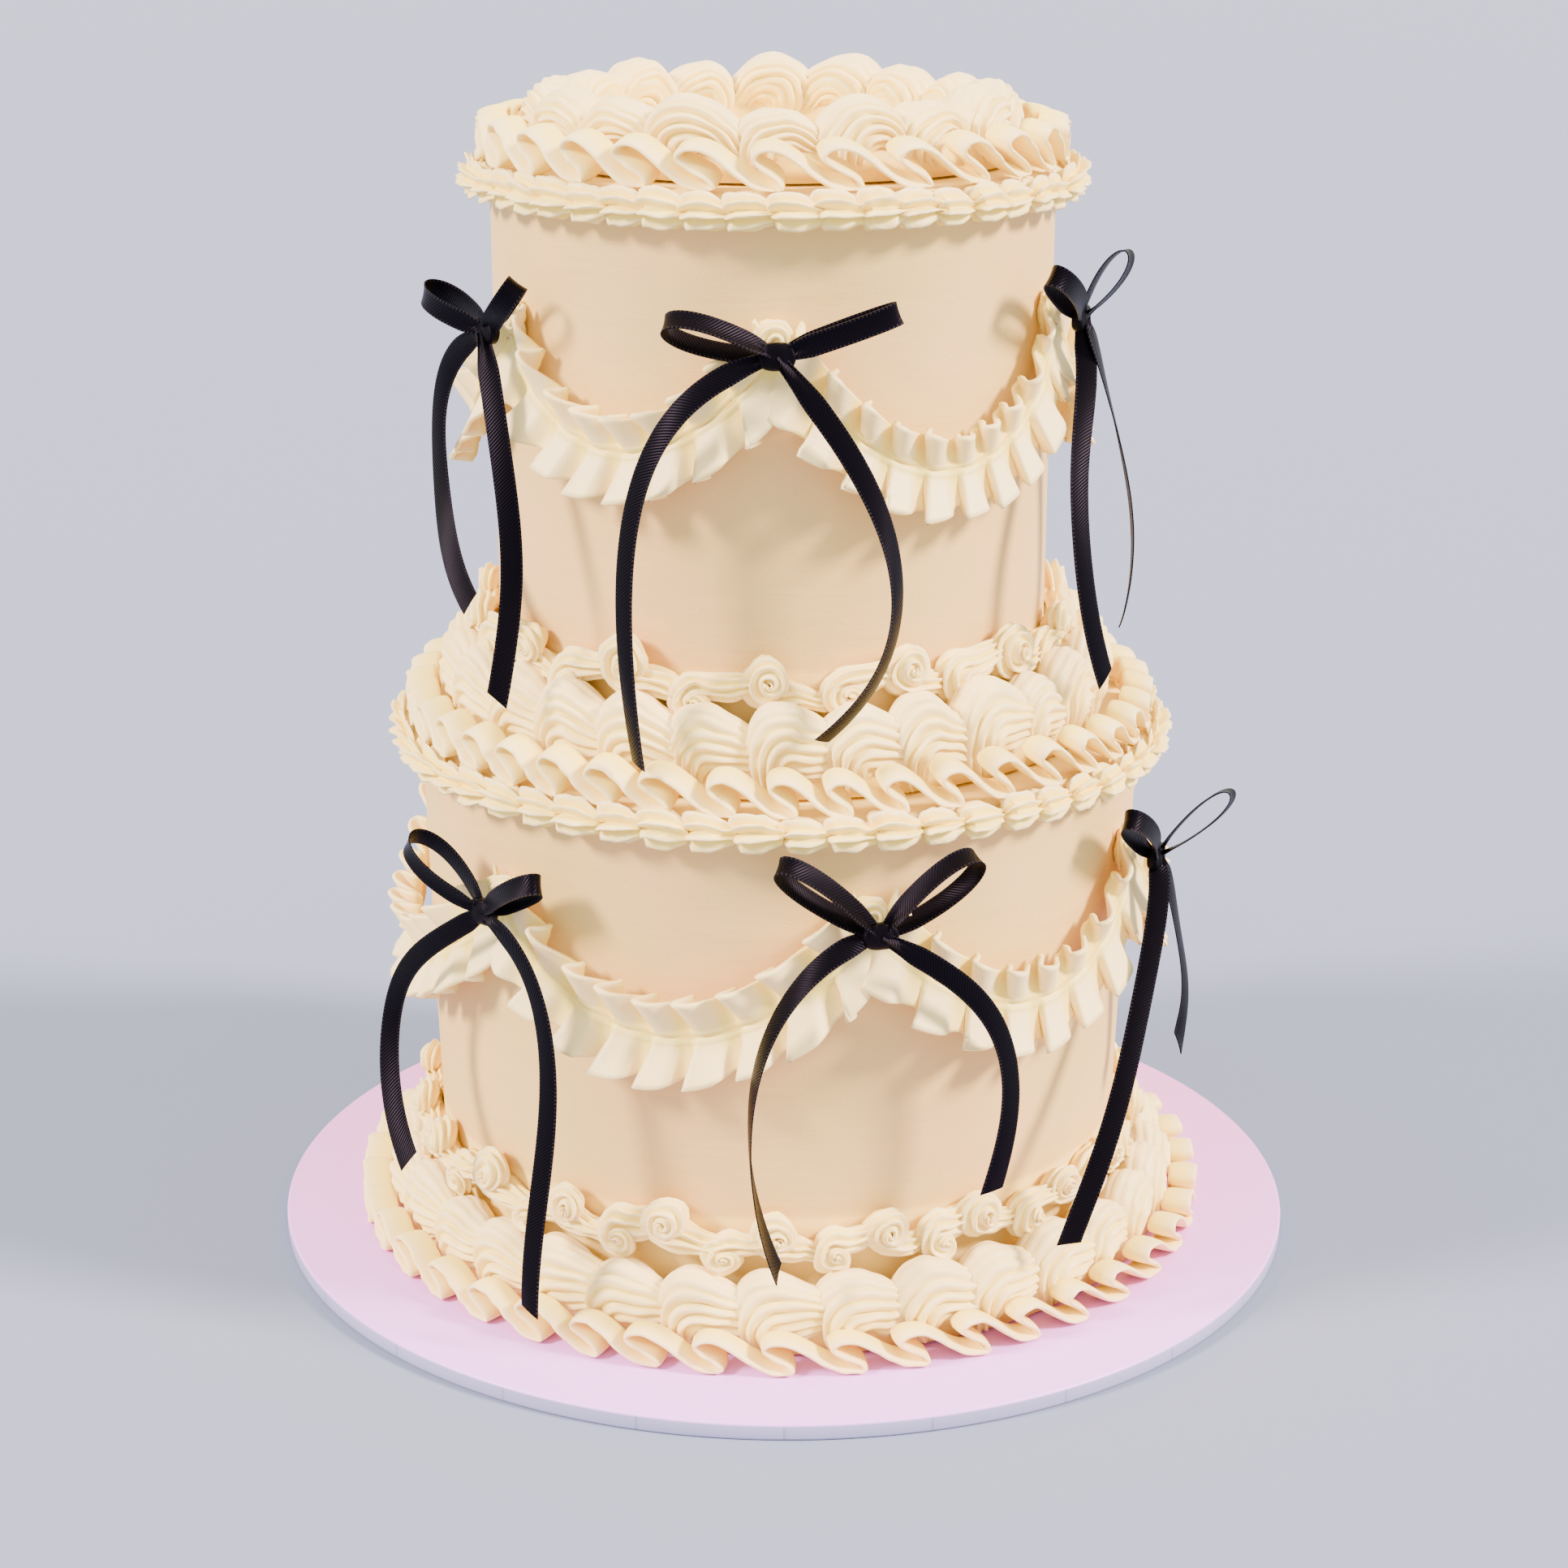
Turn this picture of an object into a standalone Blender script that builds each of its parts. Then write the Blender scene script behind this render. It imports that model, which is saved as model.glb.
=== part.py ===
# Two-tier buttercream wedding cake on its board, with piped borders, ruffled swags and tied ribbon bows.
# Metres, +Z up. The origin is the centre of the board's underside and the front of the cake faces -Y.
# A place on the cake is an azimuth from the front towards +X, a distance from a tier's axis and a height.

import math
import random

import bmesh
import bpy
from mathutils import Matrix, Vector

# Board and tiers
GAP = 0.0003                  # clearance between touching pieces
BOARD_RADIUS = 0.1524         # 12 inch board
BOARD_THICKNESS = 0.005
BOARD_EDGE = 0.0008           # bevel of the board's edges
LOWER_CENTRE_X = -0.0020      # the tiers stand a little off the board's centre
LOWER_FOOT_RADIUS = 0.1010    # 8 inch cake and its icing, slightly wider at the top
LOWER_TOP_RADIUS = 0.1060
LOWER_TOP = 0.1585
UPPER_CENTRE_X = -0.0045
UPPER_RADIUS = 0.0795         # 6 inch cake and its icing
UPPER_TOP = 0.3180
ICING_EDGE = 0.0015           # rounding of each tier's top edge
BOARD_SIDES = 48
TIER_SIDES = 48
ICING_CLEARANCE = 0.0004      # from a tier's wall to the piping on it

# Shell borders: inner and outer radius, foot and crest height, number of shells
BASE_CENTRE_X = -0.0012       # of the two rings piped on the board
MID_SHELLS_CENTRE_X = (LOWER_CENTRE_X + UPPER_CENTRE_X) / 2
BASE_SHELLS = {"inner": 0.1030, "outer": 0.1200, "foot": 0.0053, "height": 0.0242, "count": 33}
MID_SHELLS = {"inner": 0.0813, "outer": 0.0985, "foot": 0.1588, "height": 0.0227, "count": 28}
TOP_SHELLS = {"inner": 0.0510, "outer": 0.0728, "foot": 0.3183, "height": 0.0205, "count": 18}
CLOSING_SHELL_AZIMUTH = 167   # degrees; the last shell of the top border is the biggest
CLOSING_SHELL_SCALE = 1.15

# Ruffle borders: foot from inner to outer radius, how far the lip leans out, height and number of waves
BASE_RUFFLE = {"inner": 0.1207, "outer": 0.1280, "foot": 0.0053, "height": 0.0108, "flare": 0.0, "count": 43}
MID_RUFFLE = {"inner": 0.1003, "outer": 0.1052, "foot": 0.1588, "height": 0.0118, "flare": 0.0040, "count": 42}
TOP_RUFFLE = {"inner": 0.0742, "outer": 0.0786, "foot": 0.3183, "height": 0.0125, "flare": 0.0042, "count": 27}
RUFFLE_CREST_PLACE = 0.42     # in the pitch, after the tuck
RUFFLE_CREST = ((0.0, 0.0), (1.0, 0.0), (1.0, 0.66), (0.30, 1.0))       # shares of the width and the height
RUFFLE_TUCK = ((0.0, 0.0), (0.60, 0.0), (0.62, 0.50), (0.05, 0.78))
RUFFLE_LIP = 2                # the point of the crest that leans out

# Small shells on the walls under the rims: underside height, height, rise of the lip and reach from the wall
MID_SIDE_SHELLS = {"bottom": 0.1500, "height": 0.0085, "lip": 0.0035, "reach": 0.0098, "count": 55}
TOP_SIDE_SHELLS = {"bottom": 0.3085, "height": 0.0093, "lip": 0.0022, "reach": 0.0100, "count": 47}
SIDE_SHELL_PINCH = 0.72       # reach between two shells as a share of the full reach
SIDE_SHELL_HEAD_PLACE = 0.40
SIDE_SHELL_BELLY = (0.70, 0.28)   # where the underside starts to turn in, as shares of reach and height

# Scroll borders against the walls: mean height, rise and fall, half thicknesses and reaches
BASE_SCROLL = {"middle": 0.0378, "swing": 0.0024, "rope": 0.0034, "rosette": 0.0050, "curl": 0.0046, "count": 22}
MID_SCROLL = {"middle": 0.1880, "swing": 0.0028, "rope": 0.0036, "rosette": 0.0055, "curl": 0.0050, "count": 14}
SCROLL_ROPE_REACH = 0.0072
SCROLL_ROSETTE_REACH = 0.0086
SCROLL_CURL_REACH = 0.0094
SCROLL_ROPE_PLACE = 0.28      # in the pitch, after the rosette
SCROLL_CURL_PLACE = 0.56
SCROLL_OUTLINE = ((0.0, -0.70), (0.85, -1.0), (0.95, 0.60), (0.0, 1.0))   # shares of reach and half thickness

# Swags between the bows
PLEAT_PITCH = 0.0106          # along the hanging line
SWAG_END = 0.0085             # room left beside each knot
SWAG_TURN = 0.5               # how far the pleats turn to stay square to the swag's line
CREST_PLEAT = ((ICING_CLEARANCE, -0.0085), (0.0106, -0.0122), (0.0050, 0.0),
               (0.0074, 0.0092), (ICING_CLEARANCE, 0.0070))              # out from the wall and up
TUCKED_PLEAT = ((ICING_CLEARANCE, -0.0075), (0.0066, -0.0094), (0.0036, 0.0),
                (0.0042, 0.0062), (ICING_CLEARANCE, 0.0048))

# Rosette of cream behind each knot
ROSETTE_HALF_WIDTH = 0.0066
ROSETTE_HALF_HEIGHT = 0.0104
ROSETTE_RISE = 0.0012         # its centre above the knot's
ROSETTE_REACH = 0.0068

# Ribbon
RIBBON_WIDTH = 0.0060
RIBBON_THICKNESS = 0.0007
KNOT_OUT = 0.0112             # the knot's middle from the wall
KNOT_HALF_SIZE = (0.0045, 0.0024, 0.0038)
KNOT_TAPER = 0.85             # size of the knot's back against its front
TAIL_LAYER = 1.6              # millimetres in front of and behind the knot's middle
LOOP_SECTIONS = 6
LOOP_START_ANGLE = 28         # degrees round the loop left inside the knot
LOOP_FULLNESS = 0.62          # half the opening of a loop as a share of its stated depth
TAIL_SECTIONS = 5

# Each bow, in degrees and millimetres: the knot's azimuth and height, and how far the swag on its
# right hangs below it. A loop has its direction from level, its length, how deep it opens, how far it is
# rolled about its length and how far it leans out from the wall. A tail is a smooth curve from the knot
# through two guide points to its tip, each given as across, up and out from the wall, and its twist at
# both ends.
PLAIN_LOOPS = ((160, 30, 9, 35, 0), (20, 30, 9, -35, 0))
PLAIN_TAILS = (((-30, -4, 15), (-40, -52, 19), (-30, -90, 27), 0, 15),
               ((26, -8, 15), (38, -50, 19), (22, -88, 27), 0, -15))
LEFT_BACK_LOOPS = ((160, 30, 9, 35, 0), (62, 24, 8, -35, 0))
LEFT_BACK_TAILS = (((-30, -4, 15), (-40, -52, 19), (-30, -90, 27), 0, 15),
                   ((2, -20, 14), (5, -55, 14), (2, -86, 25), 0, -10))
RIGHT_BACK_LOOPS = ((118, 24, 8, 35, 0), (20, 30, 9, -35, 0))
RIGHT_BACK_TAILS = (((-2, -20, 14), (-5, -55, 14), (-3, -88, 25), 0, 10),
                    ((26, -8, 15), (38, -50, 19), (22, -88, 27), 0, -15))
UPPER_BOWS = (
    {"azimuth": 1, "height": 277.8, "drop": 34,
     "loops": ((164, 30, 9, 50, 0), (20, 33, 6, 0, 0)),
     "tails": (((-43, -10, 14), (-46, -57, 17), (-37, -106, 30), 0, 40),
               ((30, -35, 15), (49, -72, 17), (12, -98, 29), 0, -10))},
    {"azimuth": 69, "height": 278.5, "drop": 30,
     "loops": ((150, 30, 8, -15, 0), (85, 22, 6, 0, 33)),
     "tails": (((-2, -24, 15), (-34, -44, 17), (-16, -97, 28), 0, 0),
               ((-4, -12, 16), (27, -65, 27), (-4, -82, 28), 0, 30))},
    {"azimuth": 128, "height": 278, "drop": 29, "loops": RIGHT_BACK_LOOPS, "tails": RIGHT_BACK_TAILS},
    {"azimuth": 181, "height": 278, "drop": 29, "loops": PLAIN_LOOPS, "tails": PLAIN_TAILS},
    {"azimuth": 236, "height": 277, "drop": 32, "loops": LEFT_BACK_LOOPS, "tails": LEFT_BACK_TAILS},
    {"azimuth": 302.5, "height": 277, "drop": 28,
     "loops": ((168, 22, 9, -20, 17), (33, 26, 8, 50, 0)),
     "tails": (((-44, -16, 15), (-30, -50, 18), (6, -73, 21), 0, 15),
               ((22, -28, 16), (26, -73, 19), (30, -94, 30), 0, 0))},
)
LOWER_BOWS = (
    {"azimuth": 13.5, "height": 128, "drop": 29,
     "loops": ((142, 35, 9, 40, 0), (35, 33, 12, -60, 0)),
     "tails": (((-29, -2, 14), (-48, -46, 18), (-29, -93, 20), 0, 60),
               ((31, -17, 15), (46, -34, 18), (32, -76, 19), 0, 0))},
    {"azimuth": 68, "height": 126.5, "drop": 30,
     "loops": ((145, 34, 8, 0, 0), (83, 29, 6, 0, 44)),
     "tails": (((-7, -8, 15), (-36, -57, 17), (-66, -94, 25), 0, 0),
               ((0, -14, 16), (18, -50, 19), (4, -58, 20), 0, 30))},
    {"azimuth": 129, "height": 126, "drop": 30, "loops": RIGHT_BACK_LOOPS, "tails": RIGHT_BACK_TAILS},
    {"azimuth": 187, "height": 126, "drop": 30, "loops": PLAIN_LOOPS, "tails": PLAIN_TAILS},
    {"azimuth": 244, "height": 125, "drop": 33, "loops": LEFT_BACK_LOOPS, "tails": LEFT_BACK_TAILS},
    {"azimuth": 316, "height": 123.5, "drop": 30,
     "loops": ((150, 30, 9, 30, 10), (31, 26, 8, -20, 0)),
     "tails": (((-12, -12, 15), (-64, -32, 21), (-20, -77, 25), 0, 10),
               ((43, -7, 15), (25, -64, 18), (32, -105, 29), 0, 10))},
)

UNEVENNESS = 0.05             # how much one piped unit differs from the next
SEED = 7

MM = 0.001
FULL_TURN = 2 * math.pi


# Materials

def material(name, colour, roughness):
    finish = bpy.data.materials.new(name)
    finish.use_nodes = True
    shader = finish.node_tree.nodes["Principled BSDF"]
    shader.inputs["Base Color"].default_value = (*colour, 1.0)
    shader.inputs["Roughness"].default_value = roughness
    shader.inputs["Metallic"].default_value = 0.0
    return finish


# Mesh building

def add_object(name, mesh, finish, smooth_angle):
    part = bpy.data.objects.new(name, mesh)
    bpy.context.collection.objects.link(part)
    mesh.materials.append(finish)
    mesh.shade_smooth()
    mesh.set_sharp_from_angle(angle=math.radians(smooth_angle))
    return part


def loft_mesh(name, sections, closed):
    """A solid through sections of equal point count: a closed ring of them, or a run with both ends capped."""
    shape = bmesh.new()
    loops = [[shape.verts.new(point) for point in section] for section in sections]
    pairs = list(zip(loops, loops[1:]))
    if closed:
        pairs.append((loops[-1], loops[0]))
    for first, second in pairs:
        for i in range(len(first)):
            j = (i + 1) % len(first)
            shape.faces.new((first[i], first[j], second[j], second[i]))
    if not closed:
        shape.faces.new(loops[0])
        shape.faces.new(loops[-1])
    bmesh.ops.triangulate(shape, faces=shape.faces[:])
    bmesh.ops.recalc_face_normals(shape, faces=shape.faces[:])
    mesh = bpy.data.meshes.new(name)
    shape.to_mesh(mesh)
    shape.free()
    return mesh


def around(centre_x, radius, azimuth, height):
    """The point at an azimuth in radians and a distance from a tier's upright axis."""
    return Vector((centre_x + radius * math.sin(azimuth), -radius * math.cos(azimuth), height))


def turned(name, centre_x, profile, sides, finish):
    """A turned solid from a profile of radius and height, listed from the bottom to the top."""
    sections = []
    for radius, height in profile:
        azimuths = [FULL_TURN * i / sides for i in range(sides)]
        sections.append([around(centre_x, radius, azimuth, height) for azimuth in azimuths])
    return add_object(name, loft_mesh(name, sections, False), finish, 50)


def lower_wall(height):
    rise = (height - BOARD_THICKNESS) / (LOWER_TOP - BOARD_THICKNESS)
    return LOWER_FOOT_RADIUS + (LOWER_TOP_RADIUS - LOWER_FOOT_RADIUS) * rise


def upper_wall(height):
    return UPPER_RADIUS


def piped_ring(name, centre_x, count, unit, finish, seed):
    """A closed border of equal units. unit lists each section of a unit as its place in the pitch
    and a function that gives the section's radii and heights for that unit's own size."""
    rng = random.Random(seed)
    sizes = [1 + rng.uniform(-UNEVENNESS, UNEVENNESS) for _ in range(count)]
    sections = []
    for i in range(count):
        for place, profile in unit:
            azimuth = FULL_TURN * (i + place) / count
            outline = profile(sizes[i], azimuth)
            sections.append([around(centre_x, radius, azimuth, height) for radius, height in outline])
    return add_object(name, loft_mesh(name, sections, True), finish, 60)


# Board and tiers

def board(finish):
    profile = [(BOARD_RADIUS - BOARD_EDGE, 0.0),
               (BOARD_RADIUS, BOARD_EDGE),
               (BOARD_RADIUS, BOARD_THICKNESS - BOARD_EDGE),
               (BOARD_RADIUS - BOARD_EDGE, BOARD_THICKNESS)]
    turned("board", 0.0, profile, BOARD_SIDES, finish)


def tiers(finish):
    lower = [(LOWER_FOOT_RADIUS, BOARD_THICKNESS + GAP),
             (LOWER_TOP_RADIUS, LOWER_TOP - ICING_EDGE),
             (LOWER_TOP_RADIUS - ICING_EDGE, LOWER_TOP)]
    upper = [(UPPER_RADIUS, LOWER_TOP + GAP),
             (UPPER_RADIUS, UPPER_TOP - ICING_EDGE),
             (UPPER_RADIUS - ICING_EDGE, UPPER_TOP)]
    turned("lower_tier", LOWER_CENTRE_X, lower, TIER_SIDES, finish)
    turned("upper_tier", UPPER_CENTRE_X, upper, TIER_SIDES, finish)


# Large shells: a steep round head and a long low tail that the next head covers

SHELL_OUTLINE = ((0.0, 0.0), (0.94, 0.0), (1.0, 0.48), (0.80, 0.95), (0.54, 1.0), (0.0, 0.72))
SHELL_UNIT = ((0.0, 0.70, 0.88), (0.27, 1.0, 1.0), (0.64, 0.92, 0.97))   # place, height and reach


def shell_border(name, centre_x, size, finish, seed, closing_azimuth=None):
    pitch = FULL_TURN / size["count"]
    width = size["outer"] - size["inner"]

    def section(height_share, reach_share):
        def profile(scale, azimuth):
            if closing_azimuth is not None and abs(azimuth - closing_azimuth) < pitch / 2:
                scale = CLOSING_SHELL_SCALE
            tall = size["height"] * height_share * scale
            reach = width * reach_share
            return [(size["inner"] + reach * across, size["foot"] + tall * up) for across, up in SHELL_OUTLINE]
        return profile

    unit = [(place, section(tall, reach)) for place, tall, reach in SHELL_UNIT]
    piped_ring(name, centre_x, size["count"], unit, finish, seed)


# Ruffles: a thick ribbon of cream whose lip swings out and up at each wave and tucks in behind it

def ruffle_border(name, centre_x, size, finish, seed):
    span = size["outer"] - size["inner"]

    def section(outline, flare):
        def profile(scale, azimuth):
            tall = size["height"] * scale
            points = [(size["inner"] + span * across, size["foot"] + tall * up) for across, up in outline]
            radius, height = points[RUFFLE_LIP]
            points[RUFFLE_LIP] = (radius + flare, height)
            return points
        return profile

    unit = [(0.0, section(RUFFLE_TUCK, 0.0)),
            (RUFFLE_CREST_PLACE, section(RUFFLE_CREST, size["flare"]))]
    piped_ring(name, centre_x, size["count"], unit, finish, seed)


# Small shells along the top of each wall

def side_shell_border(name, centre_x, wall, size, finish, seed):
    top = size["bottom"] + size["height"]
    near = wall(top) + ICING_CLEARANCE
    belly_reach, belly_rise = SIDE_SHELL_BELLY

    def section(share, lip):
        def profile(scale, azimuth):
            reach = size["reach"] * share * scale
            return [(near, size["bottom"]),
                    (near + belly_reach * reach, size["bottom"] + belly_rise * size["height"]),
                    (near + reach, top + lip),
                    (near, top - GAP)]
        return profile

    unit = [(0.0, section(SIDE_SHELL_PINCH, 0.0)),
            (SIDE_SHELL_HEAD_PLACE, section(1.0, size["lip"]))]
    piped_ring(name, centre_x, size["count"], unit, finish, seed)


# Scrolls: a rope of cream with a rosette curled up on the wall and a curl hung down between the rosettes

def scroll_border(name, centre_x, wall, size, finish, seed):
    def section(lift, half, reach):
        def profile(scale, azimuth):
            middle = size["middle"] + size["swing"] * lift
            near = wall(middle + half) + ICING_CLEARANCE
            return [(near + reach * across, middle + half * scale * up) for across, up in SCROLL_OUTLINE]
        return profile

    unit = [(0.0, section(1.0, size["rosette"], SCROLL_ROSETTE_REACH)),
            (SCROLL_ROPE_PLACE, section(0.0, size["rope"], SCROLL_ROPE_REACH)),
            (SCROLL_CURL_PLACE, section(-1.0, size["curl"], SCROLL_CURL_REACH))]
    piped_ring(name, centre_x, size["count"], unit, finish, seed)


# Swags: two rows of pleats that meet in a seam, the upper row curled up and the lower row flared out

def swag(name, centre_x, wall, first, second, finish, seed):
    """Pleats along a hanging curve between two bows."""
    rng = random.Random(seed)
    start = math.radians(first["azimuth"])
    span = math.radians((second["azimuth"] - first["azimuth"]) % 360)
    knot_height = first["height"] * MM
    rise = second["height"] * MM - knot_height
    drop = first["drop"] * MM
    length = span * wall(knot_height)
    room = 1 - 2 * SWAG_END / length
    hanging = length * room * (1 + 8 / 3 * (drop * room / length) ** 2)   # length of a shallow hanging curve
    steps = 2 * round(hanging / PLEAT_PITCH)
    sections = []
    for i in range(steps + 1):
        along = SWAG_END / length + room * i / steps
        azimuth = start + span * along
        middle = knot_height + rise * along - drop * 4 * along * (1 - along)
        slope = -drop * 4 * (1 - 2 * along) / length
        square = Vector((-slope * SWAG_TURN, 1.0)).normalized()
        pleat = CREST_PLEAT if i % 2 else TUCKED_PLEAT
        scale = 1 + rng.uniform(-UNEVENNESS, UNEVENNESS)
        section = []
        for out, up in pleat:
            across = square.x * up * scale
            height = middle + square.y * up * scale
            distance = wall(max(height, middle)) + out
            section.append(around(centre_x, distance, azimuth + across / distance, height))
        sections.append(section)
    add_object(name, loft_mesh(name, sections, False), finish, 60)


# Rosette behind a knot: a low fluted dome against the wall

ROSETTE_RINGS = ((1.0, 0.0), (0.94, 0.55), (0.42, 1.0))   # width and reach
ROSETTE_SIDES = 6
ROSETTE_FLUTE = 0.10


def rosette(name, centre_x, wall, azimuth, knot_height, finish):
    middle = knot_height + ROSETTE_RISE
    near = wall(middle + ROSETTE_HALF_HEIGHT) + ICING_CLEARANCE
    sections = []
    for width, reach in ROSETTE_RINGS:
        section = []
        for i in range(ROSETTE_SIDES):
            turn = FULL_TURN * (i + 0.5) / ROSETTE_SIDES
            flute = 1 + ROSETTE_FLUTE * (1 if i % 2 else -1)
            across = ROSETTE_HALF_WIDTH * width * flute * math.cos(turn)
            height = middle + ROSETTE_HALF_HEIGHT * width * flute * math.sin(turn)
            distance = near + ROSETTE_REACH * reach
            section.append(around(centre_x, distance, azimuth + across / distance, height))
        sections.append(section)
    add_object(name, loft_mesh(name, sections, False), finish, 60)


# Bows

def bezier(points, t):
    rest = 1 - t
    return (points[0] * rest ** 3 + points[1] * 3 * rest ** 2 * t
            + points[2] * 3 * rest * t ** 2 + points[3] * t ** 3)


def strip(points, faces_out, twists, closed_name):
    """A flat ribbon along points. faces_out gives the way the ribbon's face looks at each point."""
    sections = []
    last = len(points) - 1
    for i, point in enumerate(points):
        tangent = (points[min(i + 1, last)] - points[max(i - 1, 0)]).normalized()
        side = tangent.cross(faces_out[i]).normalized()
        side = Matrix.Rotation(twists[i], 3, tangent) @ side
        face = side.cross(tangent)
        half = side * RIBBON_WIDTH / 2
        depth = face * RIBBON_THICKNESS / 2
        sections.append([point - half - depth, point + half - depth, point + half + depth, point - half + depth])
    return loft_mesh(closed_name, sections, False)


class Place:
    """Turns across, up and out from a knot into a point on the cake, bent round the tier."""

    def __init__(self, centre_x, wall, azimuth, knot_height):
        self.centre_x = centre_x
        self.wall_radius = wall(knot_height)
        self.azimuth = azimuth
        self.knot_height = knot_height

    def point(self, across, up, out):
        distance = self.wall_radius + out
        return around(self.centre_x, distance, self.azimuth + across / distance, self.knot_height + up)

    def outward(self, point):
        return Vector((point.x - self.centre_x, point.y, 0.0)).normalized()


def loop_mesh(name, place, loop):
    """One loop of the bow: out from the knot, round the tip and back behind."""
    direction, length, depth, roll, lean = loop
    knot = place.point(0.0, 0.0, KNOT_OUT)
    outward = place.outward(knot)
    level = outward.cross(Vector((0.0, 0.0, -1.0)))
    angle = math.radians(direction)
    along = level * math.cos(angle) + Vector((0.0, 0.0, 1.0)) * math.sin(angle)
    along = along * math.cos(math.radians(lean)) + outward * math.sin(math.radians(lean))
    front = (outward - along * outward.dot(along)).normalized()
    front = Matrix.Rotation(math.radians(roll), 3, along) @ front
    points = []
    faces_out = []
    for i in range(LOOP_SECTIONS):
        turn = math.radians(LOOP_START_ANGLE + (360 - 2 * LOOP_START_ANGLE) * i / (LOOP_SECTIONS - 1))
        reach = length * MM * (1 - math.cos(turn)) / 2
        opening = depth * MM * LOOP_FULLNESS * math.sin(turn) * math.sqrt((1 - math.cos(turn)) / 2)
        points.append(knot + along * reach + front * opening)
    for i in range(LOOP_SECTIONS):
        step = points[min(i + 1, LOOP_SECTIONS - 1)] - points[max(i - 1, 0)]
        faces_out.append(step.cross(along.cross(front)))
    return strip(points, faces_out, [0.0] * LOOP_SECTIONS, name)


def tail_mesh(name, place, tail, layer):
    """One hanging tail, a smooth curve over the swag and the borders below it."""
    first, second, tip, twist_start, twist_end = tail
    guides = [Vector((0.0, 0.0, KNOT_OUT / MM + layer)), Vector(first), Vector(second), Vector(tip)]
    points = []
    faces_out = []
    twists = []
    for i in range(TAIL_SECTIONS):
        t = i / (TAIL_SECTIONS - 1)
        across, up, out = bezier(guides, t) * MM
        point = place.point(across, up, out)
        points.append(point)
        faces_out.append(place.outward(point))
        twists.append(math.radians(twist_start + (twist_end - twist_start) * t))
    return strip(points, faces_out, twists, name)


def knot_mesh(name, place):
    """The tied knot, a block a little narrower behind than in front."""
    wide, deep, tall = KNOT_HALF_SIZE
    sections = []
    for out, share in ((KNOT_OUT - deep, KNOT_TAPER), (KNOT_OUT + deep, 1.0)):
        across = wide * share
        up = tall * share
        sections.append([place.point(-across, -up, out),
                         place.point(-across, up, out),
                         place.point(across, up, out),
                         place.point(across, -up, out)])
    return loft_mesh(name, sections, False)


def bow(name, centre_x, wall, shape, finish):
    """The knot, two loops and two tails, joined into one solid."""
    place = Place(centre_x, wall, math.radians(shape["azimuth"]), shape["height"] * MM)
    knot = add_object(name, knot_mesh(name, place), finish, 40)
    meshes = [loop_mesh("loop", place, loop) for loop in shape["loops"]]
    behind, before = shape["tails"]
    meshes.append(tail_mesh("tail", place, behind, -TAIL_LAYER))
    meshes.append(tail_mesh("tail", place, before, TAIL_LAYER))
    strips = bpy.data.collections.new(name + "_strips")
    bpy.context.scene.collection.children.link(strips)
    for mesh in meshes:
        strips.objects.link(bpy.data.objects.new(name + "_strip", mesh))
    union = knot.modifiers.new("ties", "BOOLEAN")
    union.operation = "UNION"
    union.operand_type = "COLLECTION"
    union.collection = strips
    union.solver = "EXACT"
    with bpy.context.temp_override(object=knot, active_object=knot, selected_objects=[knot]):
        bpy.ops.object.modifier_apply(modifier=union.name)
    for piece in list(strips.objects):
        bpy.data.objects.remove(piece)
    bpy.data.collections.remove(strips)


# The cake

def tier_trim(label, centre_x, wall, bows, finishes, seed):
    """The swags, rosettes and bows of one tier."""
    for i, shape in enumerate(bows):
        tag = str(i + 1)
        following = bows[(i + 1) % len(bows)]
        swag(label + "_swag_" + tag, centre_x, wall, shape, following, finishes["piping"], seed + i)
        rosette(label + "_rosette_" + tag, centre_x, wall, math.radians(shape["azimuth"]),
                shape["height"] * MM, finishes["piping"])
        bow(label + "_bow_" + tag, centre_x, wall, shape, finishes["ribbon"])


def main():
    for old in list(bpy.data.objects):
        bpy.data.objects.remove(old)
    finishes = {
        "board": material("board wrap", (0.83, 0.66, 0.82), 0.55),
        "icing": material("smooth buttercream", (0.82, 0.68, 0.50), 0.50),
        "piping": material("piped buttercream", (0.98, 0.88, 0.72), 0.45),
        "ribbon": material("satin ribbon", (0.010, 0.008, 0.012), 0.35),
    }
    piping = finishes["piping"]
    board(finishes["board"])
    tiers(finishes["icing"])
    shell_border("base_shells", BASE_CENTRE_X, BASE_SHELLS, piping, SEED)
    shell_border("mid_shells", MID_SHELLS_CENTRE_X, MID_SHELLS, piping, SEED + 1)
    shell_border("top_shells", UPPER_CENTRE_X, TOP_SHELLS, piping, SEED + 2,
                 math.radians(CLOSING_SHELL_AZIMUTH))
    ruffle_border("base_ruffle", BASE_CENTRE_X, BASE_RUFFLE, piping, SEED + 3)
    ruffle_border("mid_ruffle", LOWER_CENTRE_X, MID_RUFFLE, piping, SEED + 4)
    ruffle_border("top_ruffle", UPPER_CENTRE_X, TOP_RUFFLE, piping, SEED + 5)
    side_shell_border("mid_side_shells", LOWER_CENTRE_X, lower_wall, MID_SIDE_SHELLS, piping, SEED + 6)
    side_shell_border("top_side_shells", UPPER_CENTRE_X, upper_wall, TOP_SIDE_SHELLS, piping, SEED + 7)
    scroll_border("base_scroll", LOWER_CENTRE_X, lower_wall, BASE_SCROLL, piping, SEED + 8)
    scroll_border("mid_scroll", UPPER_CENTRE_X, upper_wall, MID_SCROLL, piping, SEED + 9)
    tier_trim("lower", LOWER_CENTRE_X, lower_wall, LOWER_BOWS, finishes, SEED + 20)
    tier_trim("upper", UPPER_CENTRE_X, upper_wall, UPPER_BOWS, finishes, SEED + 40)


main()
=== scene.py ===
# Two-tier buttercream wedding cake with piped borders, swags and black satin bows, dressed round the packed
# solids. Metres, +Z up, front of the cake towards -Y.

import math
import random

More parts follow.
